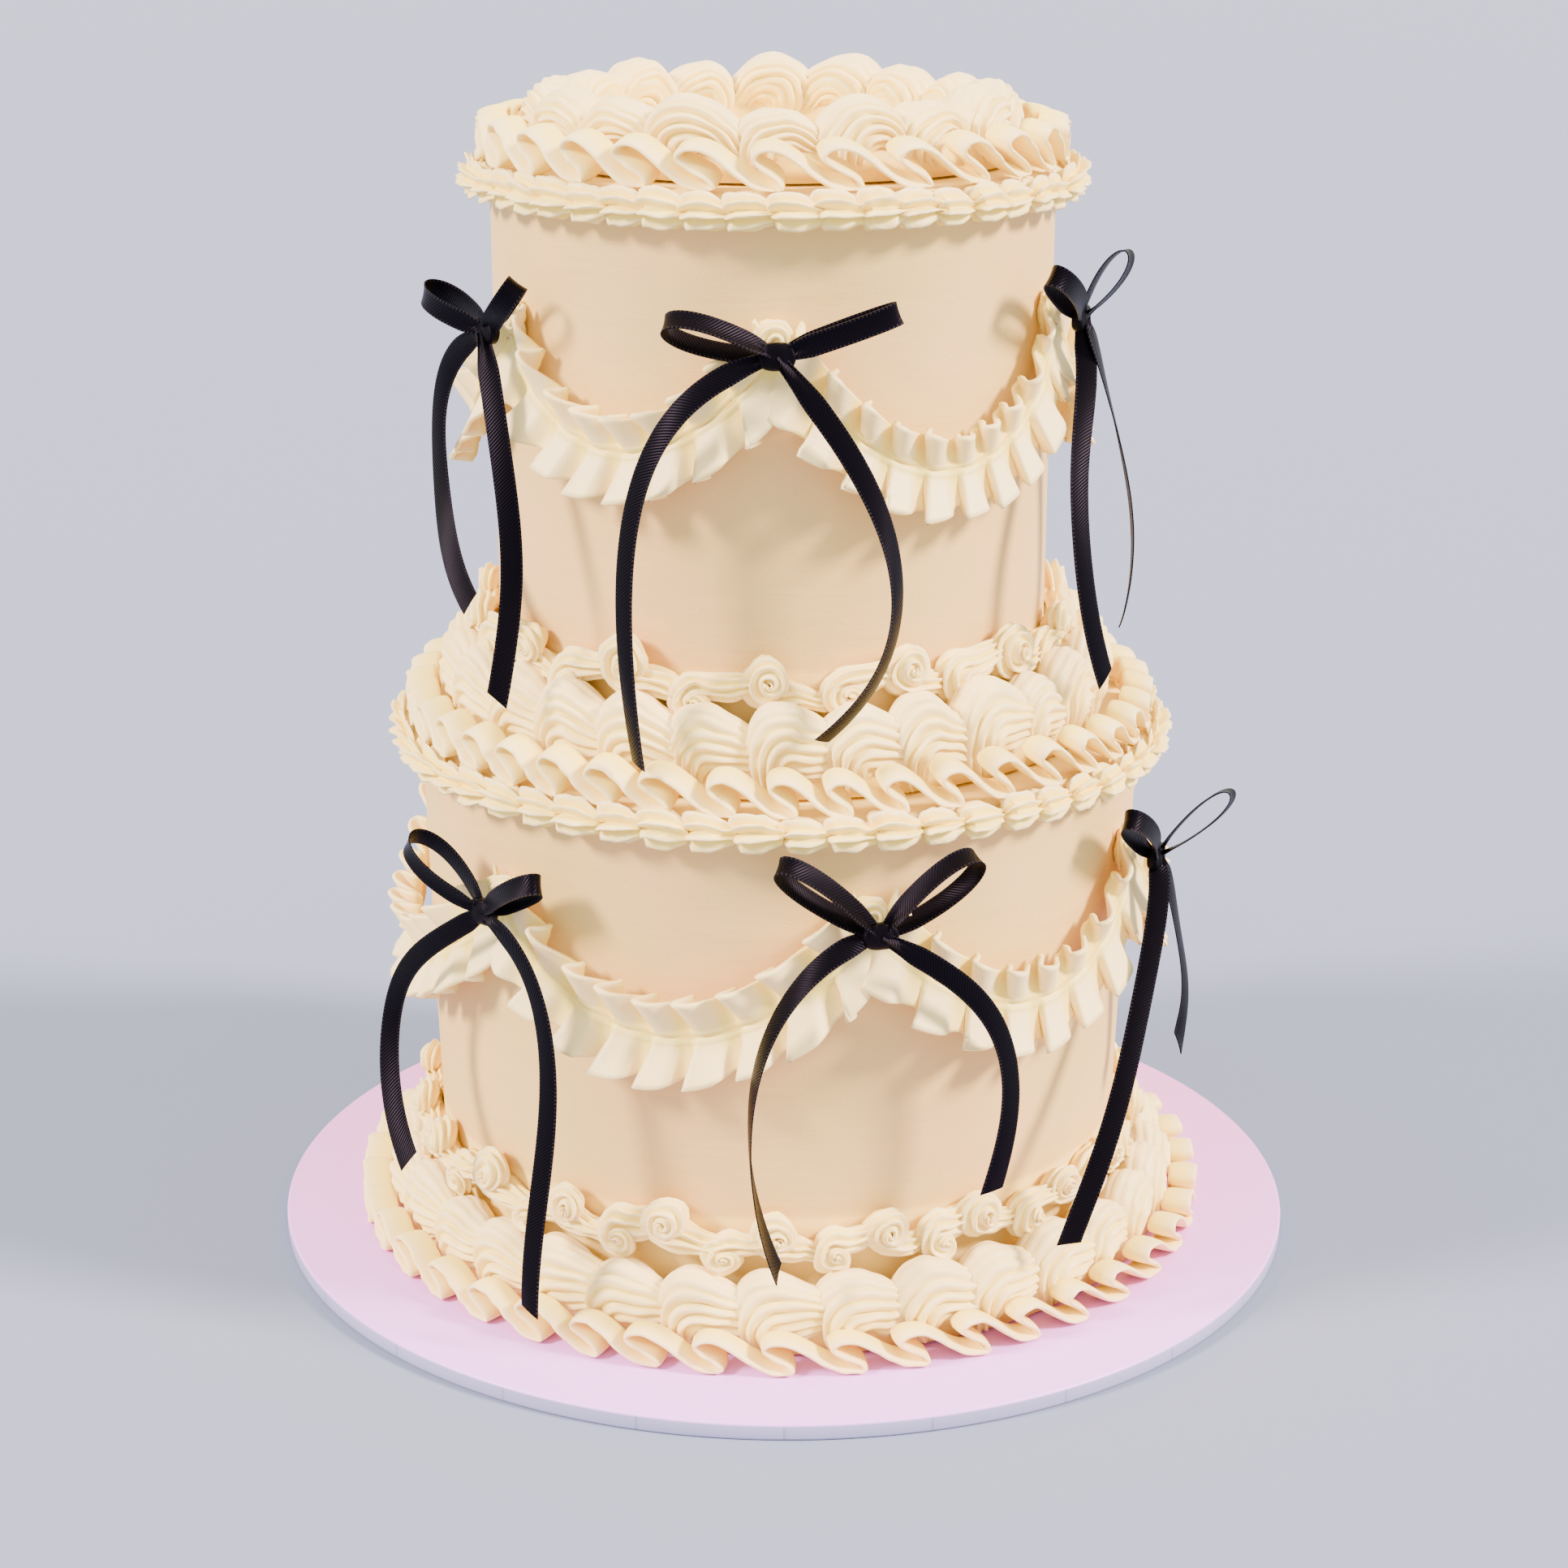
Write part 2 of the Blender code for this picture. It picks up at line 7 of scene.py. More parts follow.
import bpy
import numpy as np
from mathutils import Matrix, Vector


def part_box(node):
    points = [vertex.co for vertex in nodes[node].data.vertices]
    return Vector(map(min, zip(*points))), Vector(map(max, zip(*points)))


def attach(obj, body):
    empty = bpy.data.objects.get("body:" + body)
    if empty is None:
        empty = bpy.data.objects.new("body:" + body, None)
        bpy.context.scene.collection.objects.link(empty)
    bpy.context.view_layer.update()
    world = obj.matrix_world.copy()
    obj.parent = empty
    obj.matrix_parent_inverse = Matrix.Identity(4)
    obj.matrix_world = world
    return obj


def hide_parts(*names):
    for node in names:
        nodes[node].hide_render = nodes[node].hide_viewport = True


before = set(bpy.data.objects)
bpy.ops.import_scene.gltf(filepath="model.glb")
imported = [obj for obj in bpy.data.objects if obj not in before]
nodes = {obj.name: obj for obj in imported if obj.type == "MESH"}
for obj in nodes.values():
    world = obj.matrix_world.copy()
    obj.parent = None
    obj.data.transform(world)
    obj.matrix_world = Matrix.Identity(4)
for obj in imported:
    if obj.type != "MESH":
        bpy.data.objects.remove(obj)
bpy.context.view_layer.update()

mm = 0.001
fullTurn = 2 * math.pi


# Small helpers

def deselect():
    bpy.ops.object.select_all(action="DESELECT")


def only(piece):
    deselect()
    piece.select_set(True)
    bpy.context.view_layer.objects.active = piece


def smoothStep(x):
    x = np.clip(x, 0.0, 1.0)
    return x * x * (3 - 2 * x)


def roundEnd(x):
    # 1 up to x = 0, falling to 0 at x = 1 as a quarter of a circle does
    return np.sqrt(1 - np.clip(x, 0, 1) ** 2)


def unit(vectors):
    return vectors / np.linalg.norm(vectors, axis=1)[:, None]


def points(piece):
    co = np.empty(len(piece.data.vertices) * 3)
    piece.data.vertices.foreach_get("co", co)
    return co.reshape(-1, 3)


def setPoints(piece, co):
    piece.data.vertices.foreach_set("co", np.ascontiguousarray(co, dtype=np.float32).ravel())
    piece.data.update()


def setShadeAndGlow(piece, amount):
    # painted shade and glow: how far a point lies down in the folds, under other cream and on sides turned to
    # the wall, where the cream is painted yellow in place of shade and of light passed through it
    layer = piece.data.attributes.new("shadeAndGlow", "FLOAT", "POINT")
    layer.data.foreach_set("value", np.ascontiguousarray(np.clip(amount, 0, 1), dtype=np.float32))


def sheet(name, columns, rows):
    # a flat 1 x 1 sheet and its points from 0 to 1; x runs across or round the piece and y runs along it
    deselect()
    bpy.ops.mesh.primitive_grid_add(x_subdivisions=columns, y_subdivisions=rows, size=1)
    piece = bpy.context.object
    piece.name = name
    flat = points(piece) + 0.5
    return piece, flat[:, 0], flat[:, 1]


def seal(piece):
    # welds the seam and the ends where the sheet meets itself
    only(piece)
    bpy.ops.object.mode_set(mode="EDIT")
    bpy.ops.mesh.select_all(action="SELECT")
    bpy.ops.mesh.remove_doubles(threshold=0.00002)
    bpy.ops.mesh.normals_make_consistent(inside=False)
    bpy.ops.object.mode_set(mode="OBJECT")
    bpy.ops.object.shade_smooth()


def applyAll(piece):
    only(piece)
    for modifier in list(piece.modifiers):
        bpy.ops.object.modifier_apply(modifier=modifier.name)


def thicken(piece, thickness):
    wall = piece.modifiers.new("thickness", "SOLIDIFY")
    wall.thickness = thickness
    wall.offset = 0
    applyAll(piece)


def joinUp(pieces, name):
    deselect()
    for piece in pieces:
        piece.select_set(True)
    bpy.context.view_layer.objects.active = pieces[0]
    bpy.ops.object.join()
    joined = bpy.context.object
    joined.name = name
    return joined


def finishPiece(piece, material, slotName, *replaced):
    piece.data.materials.clear()
    piece.data.materials.append(material)
    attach(piece, "root")
    if replaced:
        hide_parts(*replaced)
    return piece


def ringOf(node):
    # centre, outer radius, foot and crest of a ring of piping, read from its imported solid
    low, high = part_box(node)
    return {"centre": (low.x + high.x) / 2, "outer": (high.x - low.x) / 2, "foot": low.z, "top": high.z}


def around(centreX, radius, azimuth, height):
    return np.stack([centreX + radius * np.sin(azimuth), -radius * np.cos(azimuth), height], -1)


def squareTo(path, place, step):
    # the direction square to a flat path at each place along it
    ahead, behind = path(place + step), path(place - step)
    stepX, stepZ = ahead[0] - behind[0], ahead[1] - behind[1]
    length = np.maximum(np.hypot(stepX, stepZ), 1e-9)
    return -stepZ / length, stepX / length


def wobble(co, rng, amount, wave):
    # slow unevenness that differs from piece to piece
    moved = co.copy()
    for axis in range(3):
        for part in (1.0, 0.45):
            direction = np.array([rng.gauss(0, 1), rng.gauss(0, 1), rng.gauss(0, 1)])
            direction = direction / np.linalg.norm(direction) * fullTurn / (wave * part)
            moved[:, axis] += amount * part * np.sin(co @ direction + rng.uniform(0, fullTurn))
    return moved


# Materials

def hexColour(code):
    channels = [int(code[i:i + 2], 16) / 255 for i in (1, 3, 5)]
    linear = [c / 12.92 if c <= 0.04045 else ((c + 0.055) / 1.055) ** 2.4 for c in channels]
    return (*linear, 1.0)


def fill(tree, node, inputs):
    # an input is a value, or another node's output to link
    for socket, value in inputs.items():
        if isinstance(value, bpy.types.NodeSocket):
            tree.links.new(value, node.inputs[socket])
        else:
            node.inputs[socket].default_value = value


def addNode(tree, kind, inputs, **settings):
    node = tree.nodes.new(kind)
    for name, value in settings.items():
        setattr(node, name, value)
    fill(tree, node, inputs)
    return node


def blend(tree, factor, first, second):
    # the first colour where the factor is 0, the second where it is 1
    return addNode(tree, "ShaderNodeMix", {"Factor": factor, 6: first, 7: second}, data_type="RGBA").outputs[2]


def rescale(tree, value, start, end, low=0.0, high=1.0, ease="LINEAR"):
    # start becomes low and end becomes high
    sockets = {"Value": value, "From Min": start, "From Max": end, "To Min": low, "To Max": high}
    return addNode(tree, "ShaderNodeMapRange", sockets, interpolation_type=ease).outputs["Result"]


def reckon(tree, operation, *values):
    return addNode(tree, "ShaderNodeMath", dict(enumerate(values)), operation=operation).outputs[0]


def noise(tree, vector, scale, **more):
    return addNode(tree, "ShaderNodeTexNoise", {"Vector": vector, "Scale": scale, **more}).outputs["Fac"]


def relief(tree, height, strength, depth):
    sockets = {"Strength": strength, "Distance": depth, "Height": height}
    return addNode(tree, "ShaderNodeBump", sockets).outputs["Normal"]


def shadeAndGlowOf(tree):
    # reads the mask of painted shade and glow
    node = addNode(tree, "ShaderNodeAttribute", {}, attribute_name="shadeAndGlow", attribute_type="GEOMETRY")
    return node.outputs["Fac"]


def newMaterial(name):
    material = bpy.data.materials.new(name)
    material.use_nodes = True
    tree = material.node_tree
    return material, tree, tree.nodes["Principled BSDF"]


pipingLook = {
    "ridge": "#FFE8B0",       # what the light catches
    "body": "#FFDF94",
    "fold": "#FFE478",        # painted shade and bounce light between two ridges, where light passes from cream to cream
    "pocket": "#FFD968",      # painted shade deep under the piping
    "foldFrom": 0.02, "foldTo": 0.42,
    "pocketFrom": 0.50, "pocketTo": 0.90,
    "streak": 0.8 * mm,       # width of the fine tears drawn along the rope
    "streakLength": 11 * mm,
    "clouds": 70.0,           # to a metre
}


def pipedButtercream():
    # whipped butter and sugar pushed through a steel nozzle: smooth ridges, fine tears, and depths painted
    # yellow in place of shade
    look = pipingLook
    material, tree, shader = newMaterial("pipedButtercream")
    where = addNode(tree, "ShaderNodeTexCoord", {})
    shadeAndGlow = shadeAndGlowOf(tree)
    cloud = noise(tree, where.outputs["Object"], look["clouds"], Detail=3.0)
    body = blend(tree, cloud, hexColour(look["body"]), hexColour(look["ridge"]))
    # painted shade: the folds and pockets turn a deeper yellow by the mask of painted shade and glow
    depth = rescale(tree, shadeAndGlow, look["foldFrom"], look["foldTo"], ease="SMOOTHSTEP")
    shaded = blend(tree, depth, body, hexColour(look["fold"]))
    deepest = rescale(tree, shadeAndGlow, look["pocketFrom"], look["pocketTo"], ease="SMOOTHSTEP")
    colour = blend(tree, deepest, shaded, hexColour(look["pocket"]))
    stretch = (1 / look["streak"], 1 / look["streakLength"], 1.0)
    drawn = addNode(tree, "ShaderNodeMapping", {"Vector": where.outputs["UV"], "Scale": stretch})
    tears = noise(tree, drawn.outputs["Vector"], 1.0, Detail=4.0, Roughness=0.6)
    fill(tree, shader, {"Base Color": colour, "Normal": relief(tree, tears, 0.32, 0.35 * mm),
                        "Roughness": 0.46, "IOR": 1.42, "Subsurface Weight": 0.18,
                        "Subsurface Radius": (1.0, 0.85, 0.35), "Subsurface Scale": 2.4 * mm})
    return material


wallLook = {
    "cream": "#EABD79",
    "shade": "#DFBF72",
    "yellowShadeAndGlow": "#FFE28A",      # painted shade and glow between the borders, where only yellow light gets in, and beside the swags
    "smear": 38 * mm,         # length of a mark left by the scraper
    "level": 160.0,           # marks to a metre of height
    "patches": 22.0,          # to a metre
    "pit": 2.4 * mm,          # spacing of the pin-prick bubbles
}


def smoothedButtercream():
    # buttercream drawn smooth with a steel scraper: faint level marks, pin-prick bubbles, a soft satin
    look = wallLook
    material, tree, shader = newMaterial("smoothedButtercream")
    where = addNode(tree, "ShaderNodeTexCoord", {}).outputs["Object"]
    stretch = (1 / look["smear"], 1 / look["smear"], look["level"])
    level = addNode(tree, "ShaderNodeMapping", {"Vector": where, "Scale": stretch})
    marks = noise(tree, level.outputs["Vector"], 1.0, Detail=4.0, Roughness=0.55, Distortion=0.4)
    tint = rescale(tree, noise(tree, where, look["patches"], Detail=2.0), 0.35, 0.68)
    body = blend(tree, tint, hexColour(look["cream"]), hexColour(look["shade"]))
    # painted shade and glow: the wall turns yellow behind the borders and beside the swags
    paintedYellow = rescale(tree, shadeAndGlowOf(tree), 0.0, 1.0, ease="SMOOTHSTEP")
    colour = blend(tree, paintedYellow, body, hexColour(look["yellowShadeAndGlow"]))
    pits = addNode(tree, "ShaderNodeTexVoronoi", {"Vector": where, "Scale": 1 / look["pit"]})
    pitDepth = rescale(tree, pits.outputs["Distance"], 0.04, 0.14, -0.5, 0.0)
    height = reckon(tree, "ADD", marks, pitDepth)
    fill(tree, shader, {"Base Color": colour, "Normal": relief(tree, height, 0.34, 0.9 * mm), "Roughness": 0.5,
                        "IOR": 1.45, "Subsurface Weight": 0.04, "Subsurface Radius": (1.0, 0.85, 0.6),
                        "Subsurface Scale": 1.5 * mm})
    return material


boardLook = {
    "wrap": "#E2A2FF",
    "boardShade": "#F290CC",       # painted shade: darker pink towards the back
    "boardShadeReach": 120 * mm,
    "boardShadeMost": 0.9,
    "rim": 152 * mm,
    "edge": "#9C9BC2",
    "joint": "#8784AC",       # the nicks where the paper is folded down
    "jointPitch": 40 * mm,
    "jointShare": 0.03,
    "edgeTop": 4.0 * mm,      # the edge's colour ends here, and the face's begins at faceFrom
    "faceFrom": 4.6 * mm,
    "grain": 900.0,
}


def boardWrap():
    # pale pink foil paper glued over a fibre drum: satin face, a cooler folded edge with its nicks
    look = boardLook
    material, tree, shader = newMaterial("boardWrap")
    where = addNode(tree, "ShaderNodeTexCoord", {}).outputs["Object"]
    axes = addNode(tree, "ShaderNodeSeparateXYZ", {"Vector": where})
    # painted shade: the wrap darkens to a deeper pink towards the back
    reach = look["boardShadeReach"]
    boardShade = rescale(tree, axes.outputs["Y"], -reach, reach, 0.0, look["boardShadeMost"])
    face = blend(tree, boardShade, hexColour(look["wrap"]), hexColour(look["boardShade"]))
    joints = round(fullTurn * look["rim"] / look["jointPitch"])
    angle = reckon(tree, "ARCTAN2", axes.outputs["Y"], axes.outputs["X"])
    share = reckon(tree, "FRACT", reckon(tree, "MULTIPLY", angle, joints / fullTurn))
    nick = rescale(tree, share, 0.0, look["jointShare"], 1.0, 0.0)
    edge = blend(tree, nick, hexColour(look["edge"]), hexColour(look["joint"]))
    onTop = rescale(tree, axes.outputs["Z"], look["edgeTop"], look["faceFrom"])
    colour = blend(tree, onTop, edge, face)
    grain = noise(tree, where, look["grain"], Detail=2.0)
    fill(tree, shader, {"Base Color": colour, "Normal": relief(tree, grain, 0.06, 0.1 * mm), "Roughness": 0.38,
                        "IOR": 1.5})
    return material


ribbonLook = {
    "face": "#020203",
    "weft": "#08060A",
    "selvedge": "#2E2934",
    "sheen": "#B9A8D0",
    "twill": 0.75 * mm,       # real twill is finer; this is the finest that shows
    "twillTurn": 0.9,         # radians
    "dot": 1.1 * mm,          # spacing of the stitches of the woven edge
    "edgeFrom": 2.35 * mm, "edgeTo": 2.55 * mm,
    "dotStrength": 0.55,
}


def satinRibbon():
    # polyester satin woven with a corded edge: near black, a soft violet sheen where it bends, a dotted border
    look = ribbonLook
    material, tree, shader = newMaterial("satinRibbon")
    where = addNode(tree, "ShaderNodeUVMap", {}, uv_map="weave").outputs["UV"]
    axes = addNode(tree, "ShaderNodeSeparateXYZ", {"Vector": where})
    turned = addNode(tree, "ShaderNodeMapping", {"Vector": where, "Rotation": (0, 0, look["twillTurn"])})
    twill = addNode(tree, "ShaderNodeTexWave", {"Vector": turned.outputs["Vector"],
                                                "Scale": 1 / look["twill"] / fullTurn * 2,
                                                "Distortion": 0.4, "Detail": 1.0}).outputs["Fac"]
    middle = reckon(tree, "ABSOLUTE", axes.outputs["X"])
    onEdge = rescale(tree, middle, look["edgeFrom"], look["edgeTo"])
    pulse = reckon(tree, "SINE", reckon(tree, "MULTIPLY", axes.outputs["Y"], fullTurn / look["dot"]))
    dotted = reckon(tree, "MULTIPLY", rescale(tree, pulse, 0.2, 0.8), onEdge)
    threads = blend(tree, twill, hexColour(look["face"]), hexColour(look["weft"]))
    faint = reckon(tree, "MULTIPLY", dotted, look["dotStrength"])
    colour = blend(tree, faint, threads, hexColour(look["selvedge"]))
    height = reckon(tree, "ADD", twill, dotted)
    fill(tree, shader, {"Base Color": colour, "Normal": relief(tree, height, 0.5, 0.14 * mm),
                        "Roughness": 0.36, "Specular IOR Level": 0.08,
                        "Specular Tint": hexColour(look["sheen"])})
    return material


floorLook = {"colour": "#77819A", "tooth": 900.0, "reach": 14}


def mattePaper():
    # a plain pale paper sweep: no gloss, a hair of tooth
    material, tree, shader = newMaterial("mattePaper")
    tooth = noise(tree, addNode(tree, "ShaderNodeTexCoord", {}).outputs["Object"], floorLook["tooth"])
    fill(tree, shader, {"Base Color": hexColour(floorLook["colour"]), "Roughness": 0.9,
                        "Normal": relief(tree, tooth, 0.05, 0.1 * mm)})
    return material


piping = pipedButtercream()
icing = smoothedButtercream()
print("materials ready")


# Camera, lights and floor

shot = {
    "position": (-0.0006, -0.8868, 0.4215),
    "pitch": 18.0,            # degrees down
    "roll": 0.28,             # degrees, the photograph leans a little
    "lens": 71.9,
    "sensor": 36.0,
    "near": 0.05,
}


def addCamera():
    deselect()
    bpy.ops.object.camera_add(location=shot["position"])
    camera = bpy.context.object
    pitch = Matrix.Rotation(math.radians(90 - shot["pitch"]), 4, "X")
    roll = Matrix.Rotation(math.radians(shot["roll"]), 4, "Z")
    camera.matrix_world = Matrix.Translation(shot["position"]) @ pitch @ roll
    camera.data.lens = shot["lens"]
    camera.data.sensor_width = shot["sensor"]
    camera.data.clip_start = shot["near"]
    bpy.context.scene.camera = camera


studio = {
    "lights": (               # azimuth, elevation, softness in degrees, strength
        ("windowRight", 74, 36, 12, 12.0),
        ("windowLeft", -70, 34, 13, 9.6),
    ),
    "sun": "#FFE8DC",         # warm light from the sides, so that the shadows stay cooler and yellower
    "sky": "#F8FAF2",
    "skyStrength": 1.9,
}


def addLights():
    for name, azimuth, elevation, softness, strength in studio["lights"]:
        a = math.radians(azimuth)
        e = math.radians(elevation)
        way = Vector((math.sin(a) * math.cos(e), -math.cos(a) * math.cos(e), math.sin(e)))
        deselect()
        bpy.ops.object.light_add(type="SUN", location=way * 2)
        light = bpy.context.object
        light.name = name
        light.rotation_euler = (-way).to_track_quat("-Z", "Y").to_euler()
        light.data.angle = math.radians(softness)
        light.data.energy = strength
        light.data.color = hexColour(studio["sun"])[:3]
    world = bpy.data.worlds.new("studioAir")
    world.use_nodes = True
    air = world.node_tree.nodes["Background"]
    air.inputs["Color"].default_value = hexColour(studio["sky"])
    air.inputs["Strength"].default_value = studio["skyStrength"]
    bpy.context.scene.world = world


def addFloor():
    deselect()
    bpy.ops.mesh.primitive_circle_add(vertices=64, radius=floorLook["reach"], fill_type="NGON")
    floor = bpy.context.object
    floor.name = "paperFloor"
    floor.data.materials.append(mattePaper())


addCamera()
addLights()
addFloor()
print("camera, lights and floor ready")


# Board and tiers

board = {"sides": 192, "edge": 0.8 * mm}


def makeBoard():
    low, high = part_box("board")
    radius = (high.x - low.x) / 2
    deselect()
    bpy.ops.mesh.primitive_cylinder_add(vertices=board["sides"], radius=radius, depth=high.z - low.z,
                                        location=(0, 0, (high.z + low.z) / 2))
    piece = bpy.context.object
    piece.name = "cakeBoard"
    bpy.ops.object.transform_apply(location=True, rotation=True, scale=True)
    bevel = piece.modifiers.new("foldedEdge", "BEVEL")
    bevel.width = board["edge"]
    bevel.segments = 3
    bevel.limit_method = "ANGLE"
    applyAll(piece)
    bpy.ops.object.shade_smooth_by_angle(angle=math.radians(35))
    finishPiece(piece, boardWrap(), "board", "board")


tierLook = {
    "columns": 220,
    "rows": 90,
    "waver": 0.35 * mm,       # the wall is not quite true
    "shadeBelow": 4 * mm,    # how far the painted yellow shade climbs over the middle of the lower piping
    "shadeAbove": 3 * mm,    # and comes down under the rim
    "rounding": 2 * mm,       # of the top edge
    "wallShare": 0.86,        # share of the rows in the wall; the rest run in over the top
}


def makeTier(name, node, borderFoot, rimUnder, seed):
    # the wall rises from the board and rolls over its top edge to the middle
    low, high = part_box(node)
    centreX = (low.x + high.x) / 2
    ring = points(nodes[node])
    reach = np.hypot(ring[:, 0] - centreX, ring[:, 1])
    footRadius = reach[ring[:, 2] < low.z + mm].max()
    topRadius = reach[ring[:, 2] > high.z - 3 * mm].max()
    rng = random.Random(seed)
    piece, u, v = sheet(name, tierLook["columns"], tierLook["rows"])
    azimuth = u * fullTurn
    wallShare, rounding = tierLook["wallShare"], tierLook["rounding"]
    up = np.clip(v / wallShare, 0, 1)
    inward = np.clip((v - wallShare) / (1 - wallShare), 0, 1)
    height = low.z + (high.z - low.z) * up
    radius = footRadius + (topRadius - footRadius) * up
    radius = radius - rounding * (1 - roundEnd(1 - (high.z - height) / rounding))
    radius = radius * (1 - inward)
    sway = np.zeros(len(v))
    for turns in (2, 3, 5, 8):
        climb = rng.uniform(8, 30)
        sway += np.sin(turns * azimuth + climb * height * 2 + rng.uniform(0, fullTurn)) / turns
    onWall = radius > 20 * mm
    radius = radius + np.where(onWall, tierLook["waver"] * (sway - 1), 0) * (1 - inward)
    setPoints(piece, around(centreX, radius, azimuth, height))
    # painted shade: the wall is painted yellow behind the lower piping, under the rim's small shells and over
    # the top edge under the shells on it
    paintedYellow = smoothStep(1 - (height - borderFoot) / tierLook["shadeBelow"])
    paintedYellow = np.maximum(paintedYellow, smoothStep(1 - (rimUnder - height) / tierLook["shadeAbove"]) * 0.6)
    underShells = smoothStep((up - 0.96) / 0.03)
    setShadeAndGlow(piece, np.maximum(paintedYellow * 0.9, underShells * 0.95))
    seal(piece)
    return piece


makeBoard()
baseScrollRing = ringOf("base_scroll")
midScrollRing = ringOf("mid_scroll")
midRimUnder = ringOf("mid_side_shells")["foot"]
topRimUnder = ringOf("top_side_shells")["foot"]
for name, node, below, rim, seed in (("lowerTier", "lower_tier", baseScrollRing, midRimUnder, 3),
                                     ("upperTier", "upper_tier", midScrollRing, topRimUnder, 4)):
    tier = makeTier(name, node, (below["foot"] + below["top"]) / 2, rim, seed)
    finishPiece(tier, icing, "icing", node)
print("board and tiers made")


# Piped units. Each is drawn in its own small frame: x along the border to the right, y back towards
# the cake and z up, and is then copied round the cake.

def finRound(turn, fins, depth, sharp):
    # round a star nozzle's rope: broad round ridges with narrow valleys, or sharp ones with open valleys
    wave = np.abs(np.sin(fins * turn / 2))
    blunt = wave ** 0.65
    keen = 1 - np.sqrt(1 - wave ** 2) ** 1.3
    ridge = blunt + (keen - blunt) * sharp
    return 1 - depth * (1 - ridge), 1 - ridge


unevenness = {"wave": 14 * mm, "jitter": 0.05, "closing": 1.16}    # a ring's last shell is the largest


def drawnOut(piece, across, along):
    # the sheet's own map in metres, so that the tears keep one real size
    uv = piece.data.uv_layers[0]
    flat = np.empty(len(piece.data.loops) * 2)
    uv.data.foreach_get("uv", flat)
    flat = flat.reshape(-1, 2) * (across, along)
    uv.data.foreach_set("uv", flat.astype(np.float32).ravel())


def copyRound(name, variants, count, ring, rng, spread, waver, turnBy=0.0, large=None):
    # copies the units round a ring of the cake, each a little different in size
    copies = []
    for i in range(count):
        pattern = variants[i % len(variants)]
        copy = pattern.copy()
        copy.data = pattern.data.copy()
        bpy.context.scene.collection.objects.link(copy)
        co = points(copy) * (1 + rng.uniform(-spread, spread))
        co[:, 2] *= 1 + rng.uniform(-spread, spread)
        if i == large:
            co *= unevenness["closing"]
        co = wobble(co, rng, waver, unevenness["wave"])
        co[:, 2] = np.maximum(co[:, 2], 0)
        jitter = rng.uniform(-unevenness["jitter"], unevenness["jitter"])
        azimuth = fullTurn * (i + jitter) / count + turnBy + co[:, 0] / ring["pitchRadius"]
        setPoints(copy, around(ring["centre"], ring["base"] - co[:, 1], azimuth, ring["foot"] + co[:, 2]))
        copies.append(copy)
    for pattern in variants:
        bpy.data.objects.remove(pattern)
    joined = joinUp(copies, name)
    only(joined)
    bpy.ops.object.shade_smooth()
    return joined


def shellUnit(look, seed):
    # one shell: the rope starts low on the left, arches over to the right and runs out in a tail
    rng = random.Random(seed)
    piece, u, v = sheet("shellPattern", look["columns"], look["rows"])
    showFrom, showTo, showShare = look["shown"]
    shown = showFrom + (showTo - showFrom) * u / showShare
    hidden = showTo + (360 - showTo + showFrom) * (u - showShare) / (1 - showShare)
    degrees = np.mod(np.where(u < showShare, shown, hidden), 360)
    turn = np.radians(degrees)
    front = degrees < 180
    fromTop = np.where(front, degrees, 360 - degrees)
    arch, rope = look["arch"], look["rope"]
    facing = smoothStep((fromTop - look["smoothTop"]) / 55)
    facing = np.where(front, facing, facing * look["backFins"])
    depth = look["finDepth"] * (0.18 + 0.82 * facing)
    twisted = turn + math.radians(look["twist"]) * v + rng.uniform(0, 0.2)
    fin, groove = finRound(twisted, look["fins"], depth, look["sharp"])
    startAngle = math.radians(look["startAngle"])
    endAngle = math.radians(90 - look["tailDown"])
    bent = arch * (startAngle - endAngle)
    slit = look["slit"] * groove * smoothStep(v / 0.06) * (1 - smoothStep(v / 0.28))
    along = v * (bent + look["tail"]) + slit
    angle = np.maximum(startAngle - along / arch, endAngle)
    straight = np.maximum(along - bent, 0)
    size = look["headSize"] + (1 - look["headSize"]) * smoothStep(v / 0.32)
    size = size * (1 - (1 - look["tailSize"]) * smoothStep((v - 0.5) / 0.5))
    size = size * roundEnd((v - 0.95) / 0.05) * roundEnd((look["nose"] - v) / look["nose"])
    radial = arch + rope * size * fin * np.cos(turn)
    # never past the middle of the arch
    soft = 0.5 * (radial + np.sqrt(radial ** 2 + (0.5 * mm) ** 2)) + 0.05 * mm
    held = 1 - smoothStep(straight / (5 * mm))
    radial = soft * held + radial * (1 - held)
    height = radial * np.sin(angle) - straight * math.cos(endAngle)
    x = radial * np.cos(angle) * look["squeeze"] + straight * math.sin(endAngle) - look["lean"] * height
    z = look["centreHeight"] + height * look["stretch"]
    tucked = 1 - look["tuck"] * np.clip(fromTop / 90 - 1, 0, 1) ** 1.6
    swell = np.where(fromTop < 90, np.sin(np.radians(fromTop)), tucked)
    cave = np.exp(-(radial / (3.2 * mm)) ** 2) * held
    out = look["reach"] * size * fin * swell * np.where(front, 1, -1) * (1 - 0.35 * cave)
    z = np.maximum(z, look["floor"])
    setPoints(piece, np.stack([x, -look["middle"] - out, z], -1))
    # painted shade: yellow in the grooves, in the cave under the arch, near the foot, on the back towards the
    # wall and along the tail
    low = smoothStep(1 - z / (6 * mm)) * look["lowShade"]
    back = np.where(front, 0, smoothStep((fromTop - 20) / 70) * look["backShade"])
    inCave = cave * smoothStep((fromTop - 60) / 60)
    atTail = smoothStep((v - 0.72) / 0.28)
    setShadeAndGlow(piece, groove * (0.10 + 0.42 * facing) + inCave * 0.6 + low + back + atTail * 0.25)
    drawnOut(piece, fullTurn * rope, bent + look["tail"])
    seal(piece)
    return piece


